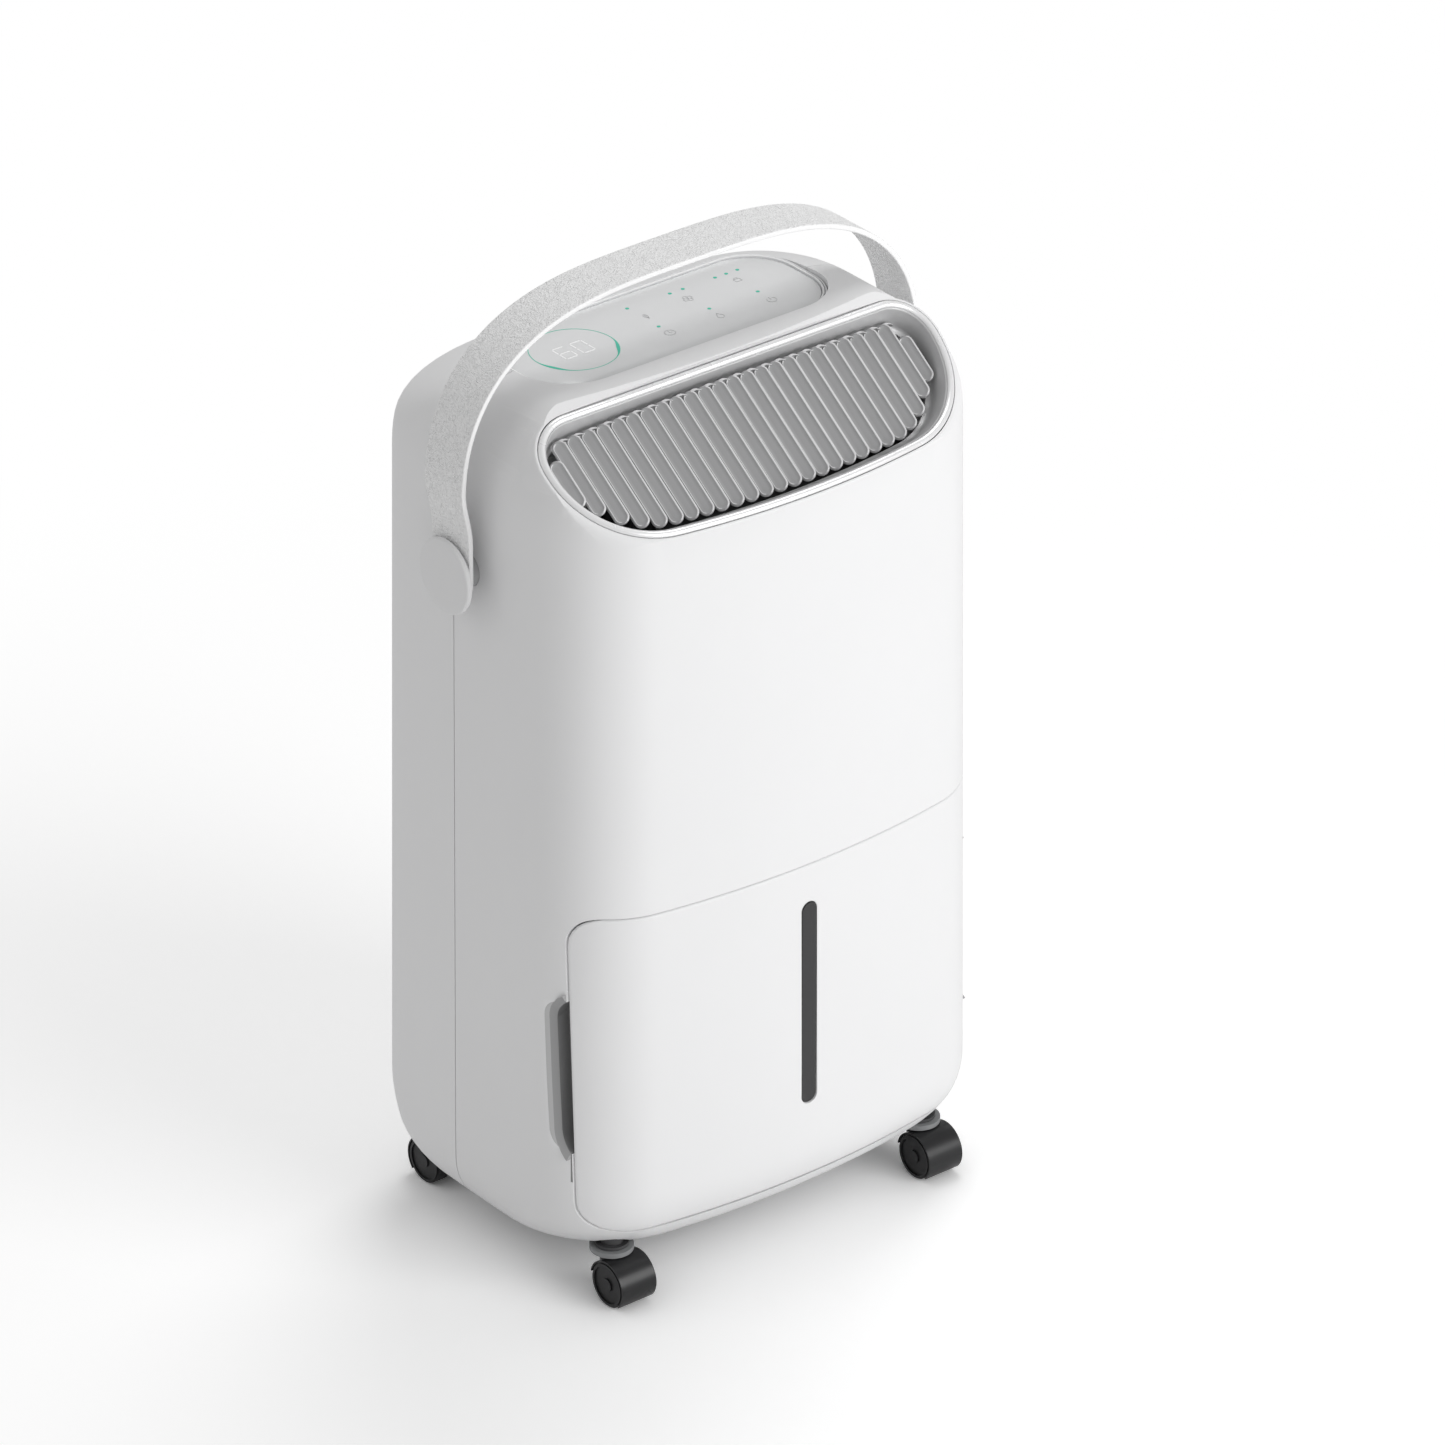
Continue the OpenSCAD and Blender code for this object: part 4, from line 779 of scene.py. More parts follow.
class DEHUMIDIFIER_OT_rear_cover(bpy.types.Operator):
    """Smooth rear cover with the intake opening, lower slots and fitting holes"""

    bl_idname = "dehumidifier.rear_cover"
    bl_label = "Rear cover"

    def execute(self, context):
        b, _ = settings()
        cover = body_form("rear_cover", 0.0)
        combine(cover, [body_form("inner", b.wall / MM)])
        combine(cover, [panel_ledge()] + [turned_y("boss", x, 103.1, z, 7.0, 5.0) for x, z in screw_places()],
                "UNION")
        low, high = node_box("intake_grille")
        low, high = low - INTAKE_GAP, high + INTAKE_GAP
        hole = soften(rectangle(low[0], low[2], high[0], high[2]), 13.7, 10, closed=True)
        cutters = [half_space("front", -300.0, b.seam / MM + SEAM_GAP / 2), rear_cut("intake", hole, 80.0)]
        for node, radius in (("drain_spout", 8.3), ("power_inlet", 9.3)):
            middle = (node_box(node)[0] + node_box(node)[1]) / 2
            cutters.append(turned_y(node, middle[0], 90.0, middle[2], radius, 60.0))
        for i in range(SLOTS):
            z = SLOT_START + SLOT_PITCH * i
            slot = soften(rectangle(-SLOT_HALF, z, SLOT_HALF, z + SLOT_TALL), 1.9, 4, closed=True)
            cutters.append(rear_cut("slot", slot, 100.0))
        for x, z in screw_places():
            cutters += [turned_y("head", x, 106.0, z, 4.2, 30.0), turned_y("shank", x, 90.0, z, 2.3, 40.0)]
        combine(cover, cutters + panel_cutters() + skirt_cutters())
        replace_node(cover, "rear_shell")
        return {"FINISHED"}


def screw_places():
    low, high = node_box("shell_screws")
    return [(x, (low[2] + high[2]) / 2) for x in SCREW_X]


def rear_cut(name, outline, start, end=160.0):
    """Prism along +Y from a rear view outline of (x, z) points."""
    return stacked(name, [[(x, y, z) for x, z in outline] for y in (start, end)])


def turned_y(name, x, y, z, radius, depth):
    """Cylinder along +Y that starts at y."""
    return rear_cut(name, ring_plan(x, z, radius, 40), y, y + depth)


# ---------------------------------------------------------------- tank


def section_line(z, inset):
    """Half outline of the body at a height with its running length, front to rear."""
    points = np.array(half_section(z, inset, (24, 60, 24)))
    run = np.concatenate([[0.0], np.cumsum(np.linalg.norm(np.diff(points, axis=0), axis=1))])
    return points, run


def tank_edge(z):
    """Depth of the side edge of the tank front at the height z."""
    (y0, y1), (low_r, high_r) = TANK_REAR, TANK_ROUND
    z0, z1 = TANK_LOW[2], TANK_HIGH[2]
    if z < z0 + low_r:
        u = low_r - (z - z0)
        return y0 - low_r + math.sqrt(max(0.0, low_r**2 - u * u))
    if z > z1 - high_r:
        u = high_r - (z1 - z)
        return y1 - high_r + math.sqrt(max(0.0, high_r**2 - u * u))
    return y0 + (y1 - y0) * (z - z0 - low_r) / (z1 - high_r - z0 - low_r)


def edge_steps(span, middle):
    """Places along a span, close together near both ends."""
    near = [0.0, 0.08, 0.3, 0.7, 1.2, 1.8, 2.4, 3.6, 6.0]
    inner = list(np.linspace(near[-1], span - near[-1], middle + 2)[1:-1])
    return near + inner + [span - v for v in reversed(near)]


def on_line(points, run, at):
    """Point of a half outline at a running length."""
    return np.array([float(np.interp(at, run, points[:, k])) for k in (0, 1)])


def roll_drop(gap, radius):
    """How far a border rolled to a radius falls in, at a distance from it."""
    if not radius:
        return 0.0
    return radius - math.sqrt(max(0.0, radius**2 - (radius - min(gap, radius)) ** 2))


def tank_skin(depth, round_r):
    """Rows of points of the tank front at an inset, its border rolled inwards by round_r."""
    z0, z1 = TANK_LOW[2], TANK_HIGH[2]
    rows = []
    for dz in edge_steps(z1 - z0, 46):
        points, run = section_line(z0 + dz, depth)
        reach = float(np.interp(tank_edge(z0 + dz), points[:, 1], run))
        row = []
        for s in edge_steps(2 * reach, 90):
            at = s - reach
            x, y = on_line(points, run, abs(at))
            tx, ty = on_line(points, run, abs(at) + 0.5) - (x, y)
            n = math.hypot(tx, ty) or 1.0
            drop = roll_drop(max(0.0, min(reach - abs(at), dz, z1 - z0 - dz)), round_r)
            row.append((math.copysign(x - drop * ty / n, at), y + drop * tx / n, z0 + dz))
        rows.append(row)
    return rows


def grid_shell(name, outer, inner):
    """Closed shell from two grids of the same size."""
    rows, cols = len(outer), len(outer[0])
    points = [p for row in outer for p in row] + [p for row in inner for p in row]
    base = rows * cols
    faces = []
    for i in range(rows - 1):
        for j in range(cols - 1):
            a, b, c, d = i * cols + j, i * cols + j + 1, (i + 1) * cols + j + 1, (i + 1) * cols + j
            faces += [(a, b, c, d), (base + d, base + c, base + b, base + a)]
    border = list(range(cols)) + [i * cols + cols - 1 for i in range(1, rows)]
    border += [(rows - 1) * cols + j for j in range(cols - 2, -1, -1)]
    border += [i * cols for i in range(rows - 2, 0, -1)]
    for k, a in enumerate(border):
        b = border[(k + 1) % len(border)]
        faces.append((b, a, base + a, base + b))
    return solid(name, points, faces)


def pill(half, reach, middle, steps):
    """Upright outline with half-round ends whose middles lie at a reach above and below a height."""
    points = []
    for sign, start in ((1, 0.0), (-1, math.pi)):
        for a in np.linspace(start, start + math.pi, steps):
            points.append((half * math.cos(a), middle + sign * reach + half * math.sin(a)))
    return points


WINDOW_HALF, WINDOW_TALL = 5.75, 134.0
TANK_WALL, TANK_ROLL = 2.8, 1.6


def window_rings(stations):
    """Outlines of the tank's slot at (depth, growth) stations."""
    low, high = node_box("tank_window")
    reach, middle = WINDOW_TALL / 2 - WINDOW_HALF, (low[2] + high[2]) / 2
    return [[(x, y, z) for x, z in pill(WINDOW_HALF + grow, reach, middle, 18)] for y, grow in stations]


class DEHUMIDIFIER_OT_tank_front(bpy.types.Operator):
    """Outer panel of the tank with rolled edges, its slot and a wider pocket round the slot on its inside"""

    bl_idname = "dehumidifier.tank_front"
    bl_label = "Tank front"

    def execute(self, context):
        panel = grid_shell("tank_panel", tank_skin(0.0, TANK_ROLL), tank_skin(TANK_WALL, 0.0))
        slot = window_rings([(-130.0, 0.8), (-112.6, 0.35), (-111.9, 0.0), (-90.0, 0.0)])
        pocket = window_rings([(-108.9, 4.4), (-90.0, 4.4)])
        combine(panel, [stacked("slot", slot), stacked("pocket", pocket)])
        replace_node(panel, "tank_front")
        return {"FINISHED"}


class DEHUMIDIFIER_OT_tank_window(bpy.types.Operator):
    """Smoked lens behind the slot of the tank"""

    bl_idname = "dehumidifier.tank_window"
    bl_label = "Tank window"

    def execute(self, context):
        low, high = node_box("tank_window")
        face, step = low[1], low[1] + 2.8
        stations = [(high[1], 4.0), (step, 4.0), (step, -0.2), (face + 0.5, -0.2), (face, -0.7)]
        lens = stacked("tank_lens", window_rings(stations))
        replace_node(lens, "tank_window")
        return {"FINISHED"}


# ---------------------------------------------------------------- outlet


class DEHUMIDIFIER_OT_outlet_ring(bpy.types.Operator):
    """Bright rounded trim ring round the outlet"""

    bl_idname = "dehumidifier.outlet_ring"
    bl_label = "Outlet ring"

    def execute(self, context):
        bead = [(0.25 + 4.2 * t, 1.35 * math.sin(math.pi * t) ** 0.7) for t in np.linspace(0.0, 1.0, 15)]
        profile = [(0.25, -4.0), (0.25, -0.3)] + bead + [(4.6, -0.5), (4.6, -4.0)]
        ring = outlet_sweep("outlet_ring", profile)
        replace_node(ring, "grille_ring", angle=50.0)
        return {"FINISHED"}


class DEHUMIDIFIER_OT_outlet_dish(bpy.types.Operator):
    """Satin dish behind the blades, open in the middle for the air"""

    bl_idname = "dehumidifier.outlet_dish"
    bl_label = "Outlet dish"

    def execute(self, context):
        inside = soften([(4.75, -0.6), (5.4, -1.2), (8.4, -14.4), (11.4, -16.4)], 2.6, 8)
        outside = [(11.4, -20.0), (5.0, -20.0), (5.0, -6.6), (1.2, -6.6), (1.2, -4.4), (4.7, -4.4)]
        dish = outlet_sweep("outlet_dish", inside + outside)
        replace_node(dish, "grille_dish", angle=40.0)
        return {"FINISHED"}


# Height of the upper ends of the blades on the outlet face, and both ends of the short outer blades
BLADE_TOP = -11.2
END_BLADE = (-21.5, -52.5)
BLADE_DEPTH = -10.5
BLADE_ROUND = 1.2
RAIL_HALF, RAIL_WIDE, RAIL_LOW, RAIL_HIGH = 118.0, 2.4, -17.4, -14.2


def blade_end(x):
    """Lower end of the blade at x, kept clear of the outlet wall."""
    _, o = settings()
    r = OUTLET_CORNER - 10.0
    cx = o.width / MM / 2 - OUTLET_CORNER
    rise = 0.0 if abs(x) < cx else r - math.sqrt(r * r - (abs(x) - cx) ** 2)
    return -o.drop / MM + 11.0 + x * x / 1500.0 + rise


def blade(name, x, top, low):
    """One rounded blade, twisted about its length and leaning about its lower tip."""
    _, o = settings()
    half, thick = o.blade_width / MM / 2, o.blade_thick / MM / 2
    c, s = math.cos(o.blade_tilt), math.sin(o.blade_tilt)
    drop = x * x / (2 * o.arch / MM)
    lean_c, lean_s = math.cos(o.blade_lean), math.sin(o.blade_lean)
    run = (top - low) / lean_c
    edge = BLADE_ROUND
    quarter = np.linspace(0, math.pi / 2, 6)
    profile = [(3.4, thick - 0.35), (1.6, thick - 0.3)]
    profile += [(edge - edge * math.sin(a), thick - edge + edge * math.cos(a)) for a in quarter]
    profile += [(edge - edge * math.cos(a), -thick + edge - edge * math.sin(a)) for a in quarter]
    profile += [(3.4, -thick)]
    rings = []
    for inset, h in profile:
        outline = pill(half - inset, run / 2 - half, run / 2, 15)
        ring = [(px * c - h * s, py, px * s + h * c) for px, py in outline]
        rings.append([slope_place(x + px * lean_c - py * lean_s, low + px * lean_s + py * lean_c,
                                  BLADE_DEPTH - drop + pz) for px, py, pz in ring])
    return stacked(name, rings)


def blade_places():
    _, o = settings()
    pitch = o.pitch / MM
    half = (o.blades - 1) / 2
    places = [((i - half) * pitch, BLADE_TOP, blade_end((i - half) * pitch)) for i in range(o.blades)]
    places += [(s * ((half + 1) * pitch - 1.5), *END_BLADE) for s in (-1, 1)]
    return places


def blade_hook(x):
    """Small curved web from the top of a blade to the wall of the dish."""
    line = soften([(-1.6, -12.2), (1.2, -11.6), (3.4, -12.0), (5.4, -13.4)], 2.0, 3)
    rings = []
    for i, (dx, y) in enumerate(line):
        half = 0.25 + 0.55 * (1.0 - i / (len(line) - 1))
        rings.append([arched_place(x + dx, y + sy * half, h) for sy, h in rectangle(-1, -11.8, 1, -9.6)])
    return stacked("hook", rings)


class DEHUMIDIFIER_OT_outlet_blades(bpy.types.Operator):
    """Louvre blades with the rails that hold them"""

    bl_idname = "dehumidifier.outlet_blades"
    bl_label = "Outlet blades"

    def execute(self, context):
        made = [blade(f"blade_{i:02d}", *place) for i, place in enumerate(blade_places())]
        rails = []
        for y in (-26.0, -46.0):
            section = rectangle(0, RAIL_LOW, RAIL_WIDE, RAIL_HIGH)
            rings = [[arched_place(x, y + dy, dz) for dy, dz in section]
                     for x in np.linspace(-RAIL_HALF, RAIL_HALF, 33)]
            rails.append(stacked("rail", rings))
        hooks = [blade_hook(x) for x, top, _ in blade_places() if top == BLADE_TOP]
        blades = joined(made[0], made[1:] + rails + hooks)
        blades.name = "outlet_blades"
        replace_node(blades, "grille_slats", angle=40.0)
        blades.data.materials.append(MATERIALS["slat_highlight"])
        # painted highlight: faces turned right and upwards get the lighter grey
        for face in blades.data.polygons:
            if face.normal.x > -0.28 and face.normal.z > 0.0:
                face.material_index = 1
        return {"FINISHED"}


# ---------------------------------------------------------------- panel


def panel_sweep(name, profile, closed=True):
    """Sweeps a profile of (growth, height) points round the panel outline."""
    rings = [[(x, y, h) for x, y in panel_plan(g)] for g, h in profile]
    return stacked(name, rings, caps=not closed, closed=closed)


# Section of the bezel: growth of the panel outline and height above the panel
BEZEL = [(3.4, -7.0), (3.4, 0.7), (2.5, 0.7), (2.3, -0.9), (1.9, -0.9), (1.8, 1.0), (0.7, 1.0), (0.5, -2.4),
         (-3.0, -2.4), (-3.0, -5.0), (-8.2, -5.0), (-8.2, -7.0)]
BEAD_FLOOR = 0.78


class DEHUMIDIFIER_OT_panel_bezel(bpy.types.Operator):
    """Two-stepped tray with soft edges round the touch panel"""

    bl_idname = "dehumidifier.panel_bezel"
    bl_label = "Panel bezel"

    def execute(self, context):
        top = PANEL_HIGH[2]
        steps = [(grow, top + rise) for grow, rise in BEZEL]
        bezel = panel_sweep("panel_bezel", soften(steps, 0.3, 4, closed=True))
        replace_node(bezel, "panel_bezel", angle=50.0)
        bezel.data.materials.append(MATERIALS["strap_edge"])
        for face in bezel.data.polygons:
            if face.center.z > (top + BEAD_FLOOR) * MM:
                face.material_index = 1
        return {"FINISHED"}


class DEHUMIDIFIER_OT_touch_panel(bpy.types.Operator):
    """Smooth touch panel with a softened rim"""

    bl_idname = "dehumidifier.touch_panel"
    bl_label = "Touch panel"

    def execute(self, context):
        top = PANEL_HIGH[2]
        profile = [(0.0, top - 2.4), (0.0, top - 0.5), (-0.15, top - 0.15), (-0.5, top), (-20.0, top)]
        plate = panel_sweep("touch_panel", profile, closed=False)
        replace_node(plate, "touch_panel")
        return {"FINISHED"}


PRINT_LOW, PRINT_HIGH = 0.02, 0.10


def flat_piece(name, outlines, top):
    """Thin raised print from closed outlines, each a list of (x, y) points."""
    made = [extruded(name, outline, top + PRINT_LOW, top + PRINT_HIGH) for outline in outlines]
    return joined(made[0], made[1:])


def band(points_out, points_in, top, name):
    """Thin closed band between two outlines of the same count."""
    rings = [[(x, y, h) for x, y in points] for points, h in (
        (points_out, top + PRINT_LOW), (points_out, top + PRINT_HIGH),
        (points_in, top + PRINT_HIGH), (points_in, top + PRINT_LOW))]
    return stacked(name, rings, caps=False, closed=True)


def stroke(points, width):
    """Outline of a line of even width with blunt ends."""
    points = [np.array(p, float) for p in points]
    left, right = [], []
    for i, p in enumerate(points):
        a, b = points[max(0, i - 1)], points[min(len(points) - 1, i + 1)]
        d = (b - a) / np.linalg.norm(b - a)
        n = np.array((-d[1], d[0])) * width / 2
        left.append(tuple(p + n))
        right.append(tuple(p - n))
    return left + right[::-1]


def circle_line(cx, cy, r, start=0.0, stop=360.0, steps=28):
    return [(cx + r * math.cos(math.radians(a)), cy + r * math.sin(math.radians(a)))
            for a in np.linspace(start, stop, steps)]


def drop_icon(cx, cy):
    """Water drop."""
    body = circle_line(cx, cy - 0.8, 2.1, 150, 390, 20)
    return [stroke([(cx, cy + 3.4)] + body + [(cx, cy + 3.4)], 0.45)]


def clock_icon(cx, cy):
    return [stroke(circle_line(cx, cy, 3.2, 0, 350), 0.45),
            stroke([(cx, cy + 2.0), (cx, cy), (cx + 1.5, cy)], 0.45)]


def fan_icon(cx, cy):
    made = [stroke(circle_line(cx, cy, 0.6, 0, 340, 12), 0.4)]
    for k in range(4):
        turn = 90 * k + 20
        x, y = cx + 2.1 * math.cos(math.radians(turn)), cy + 2.1 * math.sin(math.radians(turn))
        made.append(stroke(circle_line(x, y, 1.35, turn - 150, turn + 120, 14), 0.42))
    return made


def leaf_icon(cx, cy):
    """Two arcs that meet in a point, with a rib."""
    return [stroke(circle_line(cx - 1.6, cy, 3.4, -50, 50, 14), 0.42),
            stroke(circle_line(cx + 2.8, cy, 3.4, 130, 230, 14), 0.42),
            stroke([(cx + 0.6, cy - 3.4), (cx + 0.6, cy + 1.6)], 0.4)]


def lock_icon(cx, cy):
    case = rectangle(cx - 2, cy - 2.4, cx + 2, cy + 0.8) + [(cx - 2, cy - 2.2)]
    return [stroke(case, 0.42), stroke(circle_line(cx, cy + 0.9, 1.4, 0, 180, 12), 0.42)]


def power_icon(cx, cy):
    return [stroke(circle_line(cx, cy, 2.9, 125, 415, 24), 0.45),
            stroke([(cx, cy + 3.4), (cx, cy + 0.4)], 0.45)]


def digit(lit, x, y):
    """Seven-segment figure with mitred bars."""
    w, h, t = 8.0, 14.0, 1.0
    g = 0.3
    m = h / 2

    def flat(x0, y0):
        left, right = x0 + t / 2 + g, x0 + w - t / 2 - g
        return [(x0 + g, y0), (left, y0 + t / 2), (right, y0 + t / 2), (x0 + w - g, y0),
                (right, y0 - t / 2), (left, y0 - t / 2)]

    def tall(x0, y0):
        low, high = y0 + t / 2 + g, y0 + m - t / 2 - g
        return [(x0, y0 + g), (x0 - t / 2, low), (x0 - t / 2, high), (x0, y0 + m - g),
                (x0 + t / 2, high), (x0 + t / 2, low)]

    bars = [flat(x, y + h), tall(x + w, y + m), tall(x + w, y), flat(x, y), tall(x, y), tall(x, y + m),
            flat(x, y + m)]
    return [bars[k] for k in lit]


class DEHUMIDIFIER_OT_panel_graphics(bpy.types.Operator):
    """Lit ring, figures, indicator lights and pictograms of the touch panel"""

    bl_idname = "dehumidifier.panel_graphics"
    bl_label = "Panel graphics"

    def execute(self, context):
        top = PANEL_HIGH[2]
        low, high = node_box("display_ring")
        cx, cy, r = (low[0] + high[0]) / 2, (low[1] + high[1]) / 2, (high[0] - low[0]) / 2
        angles = np.linspace(0.0, 2 * math.pi, 145)[:-1]
        outer = [(cx + r * math.cos(a), cy + r * math.sin(a)) for a in angles]

        def width(a):
            swell = sum(math.exp(-((math.remainder(a - math.radians(m), 2 * math.pi)) / 0.30) ** 2)
                        for m in (-31.0, 206.0))
            return 0.42 + 1.7 * swell

        inner = [(cx + (r - width(a)) * math.cos(a), cy + (r - width(a)) * math.sin(a)) for a in angles]
        ring = band(outer, inner, top, "display_ring_light")
        replace_node(ring, "display_ring")
        figures = flat_piece("display_figures", digit((0, 2, 3, 4, 5, 6), cx - 10.5, cy - 7.0)
                             + digit((0, 1, 2, 3, 4, 5), cx + 2.0, cy - 7.0), top)
        replace_node(figures, "display_digits")
        places = light_places()
        lights = flat_piece("indicator_lights", [circle_line(x, y, 1.15, 0, 345, 24) for x, y in places], top)
        replace_node(lights, "status_leds")
        icons = (leaf_icon(-2.9, 36.9) + clock_icon(-4.3, 12.2) + fan_icon(30.4, 39.8) + drop_icon(31.3, 11.5)
                 + lock_icon(67.5, 41.5) + power_icon(67.1, 9.1))
        marks = flat_piece("panel_pictograms", icons, top)
        finished(marks, MATERIALS["icon_grey"], "housing")
        return {"FINISHED"}


def light_places():
    """Middles of the nine indicator lights, in two rows."""
    low, high = node_box("status_leds")
    rear, front = high[1] - 1.3, low[1] + 1.3
    return [(-4.6, rear), (26.3, rear), (35.7, rear), (59.2, rear), (67.3, rear), (75.5, rear),
            (-4.6, front), (32.0, front), (67.3, front)]


# ---------------------------------------------------------------- strap


STRAP_HALF = 159.6
STRAP_THICK = 3.2
STRAP_EDGE = 1.1
STRAP_POWER = 2 / 3.4
STRAP_SWELL = 6.9


def strap_point(a):
    """Middle line of the strap: a rounded arch whose sides swell out above the pivots."""
    z = handle_axis()[1]
    rise = STRAP_HIGH[2] - STRAP_THICK / 2 - z
    c, r = math.cos(a), math.sin(a) ** STRAP_POWER
    u = max(0.0, min(1.0, (r - 0.14) / 0.24))
    swell = STRAP_SWELL * math.sin(math.pi * min(1.0, r)) * u * u * (3 - 2 * u)
    return math.copysign(abs(c) ** STRAP_POWER * STRAP_HALF + swell, c), z + rise * r


def strap_stations():
    """Even stations along the strap, with the outward direction at each."""
    dense = np.array([strap_point(a) for a in np.linspace(0.0, math.pi, 1600)])
    run = np.concatenate([[0.0], np.cumsum(np.linalg.norm(np.diff(dense, axis=0), axis=1))])
    made = []
    for s in np.linspace(0.0, run[-1], 220):
        p = [float(np.interp(s, run, dense[:, k])) for k in (0, 1)]
        q = [float(np.interp(min(s + 1.5, run[-1]), run, dense[:, k])) for k in (0, 1)]
        o = [float(np.interp(max(s - 1.5, 0.0), run, dense[:, k])) for k in (0, 1)]
        t = np.array(q) - np.array(o)
        t /= np.linalg.norm(t)
        made.append((p, (t[1], -t[0])))
    return made


class DEHUMIDIFIER_OT_strap(bpy.types.Operator):
    """Pebbled strap with painted edges and round ends"""

    bl_idname = "dehumidifier.strap"
    bl_label = "Strap"

    def execute(self, context):
        y0, z0 = handle_axis()
        half_w, t = (STRAP_HIGH[1] - STRAP_LOW[1]) / 2, STRAP_THICK / 2
        edge = STRAP_EDGE
        section = soften(rectangle(-half_w, -t, half_w, t), edge, 5, closed=True)
        dense = []
        for i, p in enumerate(section):
            q = section[(i + 1) % len(section)]
            steps = 14 if abs(p[0] - q[0]) > 10 else 1
            dense += [(p[0] + (q[0] - p[0]) * k / steps, p[1] + (q[1] - p[1]) * k / steps)
                      for k in range(steps)]
        rings = []
        for p, n in strap_stations():
            out = (-n[0], -n[1]) if (n[0] * p[0] + n[1] * (p[1] - z0)) < 0 else n
            rings.append([(p[0] + out[0] * h, y0 + w, p[1] + out[1] * h) for w, h in dense])
        strap = stacked("strap_band", rings)
        quarter = np.linspace(0, math.pi / 2, 6)
        profile = [(half_w - edge + edge * math.sin(a), -t + edge - edge * math.cos(a)) for a in quarter]
        profile += [(half_w - edge + edge * math.cos(a), t - edge + edge * math.sin(a)) for a in quarter]
        profile = [(4.0, -t)] + profile + [(4.0, t)]
        ends = [lathe("end", profile, 64, lambda a, b, h, s=s: (s * (STRAP_HALF + h), y0 + a, z0 + b))
                for s in (-1, 1)]
        combine(strap, ends, "UNION")
        replace_node(strap, "strap", angle=50.0)
        paint_edges(strap, MATERIALS["strap_edge"])
        return {"FINISHED"}


def paint_edges(obj, material):
    """Gives the narrow front and rear edges of the strap their smooth paint."""
    obj.data.materials.append(material)
    for face in obj.data.polygons:
        if abs(face.normal.y) > 0.5:
            face.material_index = 1


class DEHUMIDIFIER_OT_strap_caps(bpy.types.Operator):
    """Round caps over the strap ends"""

    bl_idname = "dehumidifier.strap_caps"
    bl_label = "Strap caps"

    def execute(self, context):
        y0, z0 = handle_axis()
        r = (CAP_HIGH[1] - CAP_LOW[1]) / 2
        face = CAP_HIGH[0]
        back = face - 5.4
        profile = [(15.5, back), (16.0, back + 0.3), (16.0, back + 1.3), (r - 1.0, back + 1.4)]
        profile += [(r - 1.0 + math.sin(a), back + 2.4 - math.cos(a))
                    for a in np.linspace(0.2, math.pi / 2, 5)]
        profile += [(r - 1.4 + 1.4 * math.cos(a), face - 1.9 + 1.4 * math.sin(a))
                    for a in np.linspace(0.0, math.pi / 2 * 0.9, 8)]
        profile += [(r * k, face - 0.5 + 0.5 * (1 - k * k)) for k in (0.8, 0.6, 0.4, 0.2, 0.05)]
        made = [lathe("cap", profile, 96, lambda a, b, h, s=s: (s * h, y0 + a, z0 + b)) for s in (-1, 1)]
        caps = joined(made[0], made[1:])
        caps.name = "strap_end_caps"
        replace_node(caps, "strap_caps", angle=45.0)
        return {"FINISHED"}


# ---------------------------------------------------------------- frame nodes


class DEHUMIDIFIER_OT_frame_nodes(bpy.types.Operator):
    """Finishes of the nodes of the frame that are shown as they are, with painted shade on the outlet duct"""

    bl_idname = "dehumidifier.frame_nodes"
    bl_label = "Inner parts and fittings"

    def execute(self, context):
        for name, obj in frame["nodes"].items():
            if obj.hide_render:
                continue
            obj.data.materials.clear()
            # the outlet duct gets near-black paint in place of its own finish: painted shade seen through the
            # gaps between the blades
            obj.data.materials.append(MATERIALS["duct_shade" if name == "outlet_duct" else slot_name(name)])
        return {"FINISHED"}


# ---------------------------------------------------------------- stage


FLOOR_WHITE = (0.86, 0.86, 0.86)
FLOOR_SEEN = (1.22, 1.22, 1.22)
FLOOR_FADE = (0.35, 1.0)
VIEW_AZIMUTH, VIEW_ELEVATION = -38.32, 28.94
VIEW_DISTANCE, VIEW_LENS = 5.775, 249.13
VIEW_SHIFT = (0.0253, 0.0048)
VIEW_TARGET = (0.0, 0.0031, 0.300)


AMBIENT = 0.505
FLOOR_HALF = 6000.0
# Name, direction from the target, distance, diameter and power of each light
LIGHTS = (
    ("key_light", (0.30, -0.90, 0.26), 2.6, 1.9, 35.5),
    ("top_light", (0.50, 0.38, 1.15), 2.6, 1.3, 15.5),
    ("back_light", (-0.80, 0.40, 0.55), 2.8, 1.8, 3.0),
)


def view_direction(azimuth, elevation):
    """Unit vector from the target back to the camera."""
    a, e = math.radians(azimuth), math.radians(elevation)
    return Vector((math.sin(a) * math.cos(e), -math.cos(a) * math.cos(e), math.sin(e)))


def add_camera():
    camera = bpy.data.cameras.new("studio_camera")
    camera.lens = VIEW_LENS
    camera.sensor_width = 36.0
    camera.shift_x, camera.shift_y = VIEW_SHIFT
    camera.clip_end = 50.0
    obj = bpy.data.objects.new("studio_camera", camera)
    bpy.context.scene.collection.objects.link(obj)
    back = view_direction(VIEW_AZIMUTH, VIEW_ELEVATION)
    obj.location = Vector(VIEW_TARGET) + back * VIEW_DISTANCE
    obj.rotation_euler = back.to_track_quat("Z", "Y").to_euler()
    bpy.context.scene.camera = obj


def area_light(name, direction, distance, size, power):
    light = bpy.data.lights.new(name, "AREA")
    light.shape = "DISK"
    light.size = size
    light.energy = power
    obj = bpy.data.objects.new(name, light)
    bpy.context.scene.collection.objects.link(obj)
    back = Vector(direction).normalized()
    obj.location = Vector(VIEW_TARGET) + back * distance
    obj.rotation_euler = back.to_track_quat("Z", "Y").to_euler()
    return obj


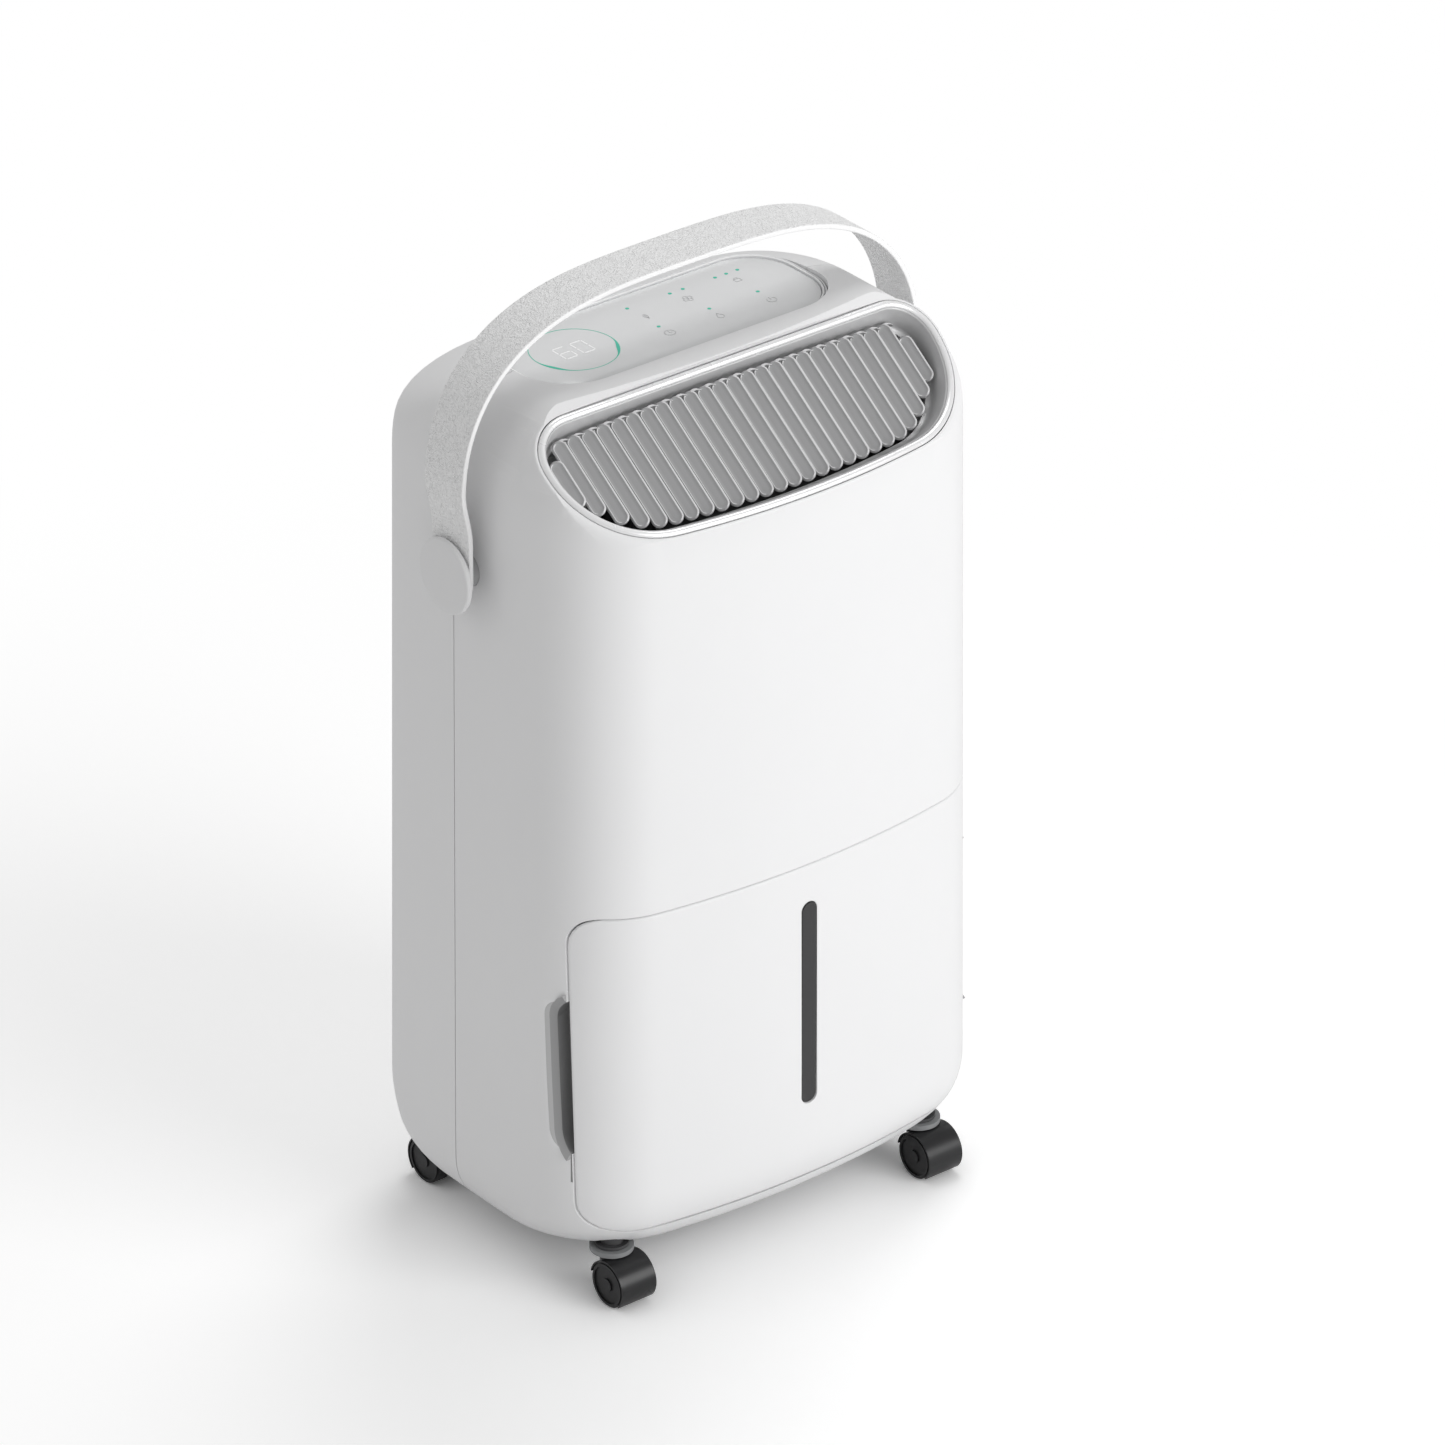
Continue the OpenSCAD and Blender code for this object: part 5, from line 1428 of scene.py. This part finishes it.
def floor_material():
    """Pale floor that reads white to the camera and keeps the soft shadow."""
    material = bpy.data.materials.new("floor_white")
    material.use_nodes = True
    tree = material.node_tree
    shader = tree.nodes["Principled BSDF"]
    shader.inputs["Base Color"].default_value = (*FLOOR_WHITE, 1.0)
    shader.inputs["Roughness"].default_value = 0.9
    shader.inputs["Specular IOR Level"].default_value = 0.1
    seen = tree.nodes.new("ShaderNodeBsdfDiffuse")
    seen.inputs["Color"].default_value = (*FLOOR_SEEN, 1.0)
    white = tree.nodes.new("ShaderNodeEmission")
    white.inputs["Color"].default_value = (1.0, 1.0, 1.0, 1.0)
    white.inputs["Strength"].default_value = 1.0
    place = tree.nodes.new("ShaderNodeTexCoord")
    reach = tree.nodes.new("ShaderNodeVectorMath")
    reach.operation = "LENGTH"
    fade = tree.nodes.new("ShaderNodeMapRange")
    fade.interpolation_type = "SMOOTHSTEP"
    fade.inputs["From Min"].default_value = FLOOR_FADE[0]
    fade.inputs["From Max"].default_value = FLOOR_FADE[1]
    far = tree.nodes.new("ShaderNodeMixShader")
    path = tree.nodes.new("ShaderNodeLightPath")
    both = tree.nodes.new("ShaderNodeMixShader")
    tree.links.new(place.outputs["Object"], reach.inputs[0])
    tree.links.new(reach.outputs["Value"], fade.inputs["Value"])
    tree.links.new(fade.outputs["Result"], far.inputs["Fac"])
    tree.links.new(seen.outputs["BSDF"], far.inputs[1])
    tree.links.new(white.outputs["Emission"], far.inputs[2])
    tree.links.new(path.outputs["Is Camera Ray"], both.inputs["Fac"])
    tree.links.new(shader.outputs["BSDF"], both.inputs[1])
    tree.links.new(far.outputs["Shader"], both.inputs[2])
    tree.links.new(both.outputs["Shader"], tree.nodes["Material Output"].inputs["Surface"])
    return material


def add_world():
    world = bpy.data.worlds.new("studio_world")
    bpy.context.scene.world = world
    world.use_nodes = True
    tree = world.node_tree
    ambient = tree.nodes["Background"]
    ambient.inputs["Color"].default_value = (1.0, 1.0, 1.0, 1.0)
    ambient.inputs["Strength"].default_value = AMBIENT
    white = tree.nodes.new("ShaderNodeBackground")
    white.inputs["Color"].default_value = (1.0, 1.0, 1.0, 1.0)
    white.inputs["Strength"].default_value = 1.0
    path = tree.nodes.new("ShaderNodeLightPath")
    mix = tree.nodes.new("ShaderNodeMixShader")
    tree.links.new(path.outputs["Is Camera Ray"], mix.inputs["Fac"])
    tree.links.new(ambient.outputs["Background"], mix.inputs[1])
    tree.links.new(white.outputs["Background"], mix.inputs[2])
    tree.links.new(mix.outputs["Shader"], tree.nodes["World Output"].inputs["Surface"])


class DEHUMIDIFIER_OT_stage(bpy.types.Operator):
    """Pale floor, soft studio lights, white surround and camera"""

    bl_idname = "dehumidifier.stage"
    bl_label = "Stage"

    def execute(self, context):
        corners = rectangle(-FLOOR_HALF, -FLOOR_HALF, FLOOR_HALF, FLOOR_HALF)
        floor = solid("studio_floor", [(x, y, 0.0) for x, y in corners], [(0, 1, 2, 3)])
        floor.data.materials.append(floor_material())
        lights = [area_light(*light) for light in LIGHTS]
        add_world()
        add_camera()
        context.scene.view_settings.view_transform = "Standard"
        return {"FINISHED"}


# ---------------------------------------------------------------- add-on


PIECES = (
    DEHUMIDIFIER_OT_front_cover,
    DEHUMIDIFIER_OT_rear_cover,
    DEHUMIDIFIER_OT_tank_front,
    DEHUMIDIFIER_OT_tank_window,
    DEHUMIDIFIER_OT_outlet_ring,
    DEHUMIDIFIER_OT_outlet_dish,
    DEHUMIDIFIER_OT_outlet_blades,
    DEHUMIDIFIER_OT_panel_bezel,
    DEHUMIDIFIER_OT_touch_panel,
    DEHUMIDIFIER_OT_panel_graphics,
    DEHUMIDIFIER_OT_strap,
    DEHUMIDIFIER_OT_strap_caps,
    DEHUMIDIFIER_OT_frame_nodes,
    DEHUMIDIFIER_OT_stage,
)


class DEHUMIDIFIER_PT_pieces(bpy.types.Panel):
    """Settings and pieces of the dehumidifier"""

    bl_idname = "DEHUMIDIFIER_PT_pieces"
    bl_label = "Dehumidifier"
    bl_space_type = "VIEW_3D"
    bl_region_type = "UI"
    bl_category = "Dehumidifier"

    def draw(self, context):
        for group in ("dehumidifier_body", "dehumidifier_outlet", "dehumidifier_paint"):
            values = getattr(context.scene, group)
            box = self.layout.box()
            for key in values.bl_rna.properties.keys():
                if key not in ("rna_type", "name"):
                    box.prop(values, key)
        for piece in PIECES:
            self.layout.operator(piece.bl_idname)


CLASSES = (DehumidifierBody, DehumidifierOutlet, DehumidifierPaint, *PIECES, DEHUMIDIFIER_PT_pieces)


def register():
    for cls in CLASSES:
        bpy.utils.register_class(cls)
    bpy.types.Scene.dehumidifier_body = PointerProperty(type=DehumidifierBody)
    bpy.types.Scene.dehumidifier_outlet = PointerProperty(type=DehumidifierOutlet)
    bpy.types.Scene.dehumidifier_paint = PointerProperty(type=DehumidifierPaint)


def unregister():
    del bpy.types.Scene.dehumidifier_paint
    del bpy.types.Scene.dehumidifier_outlet
    del bpy.types.Scene.dehumidifier_body
    for cls in reversed(CLASSES):
        bpy.utils.unregister_class(cls)


def main():
    register()
    MATERIALS.update(material_set())
    for piece in PIECES:
        group, name = piece.bl_idname.split(".")
        getattr(getattr(bpy.ops, group), name)()


if __name__ == "__main__":
    main()
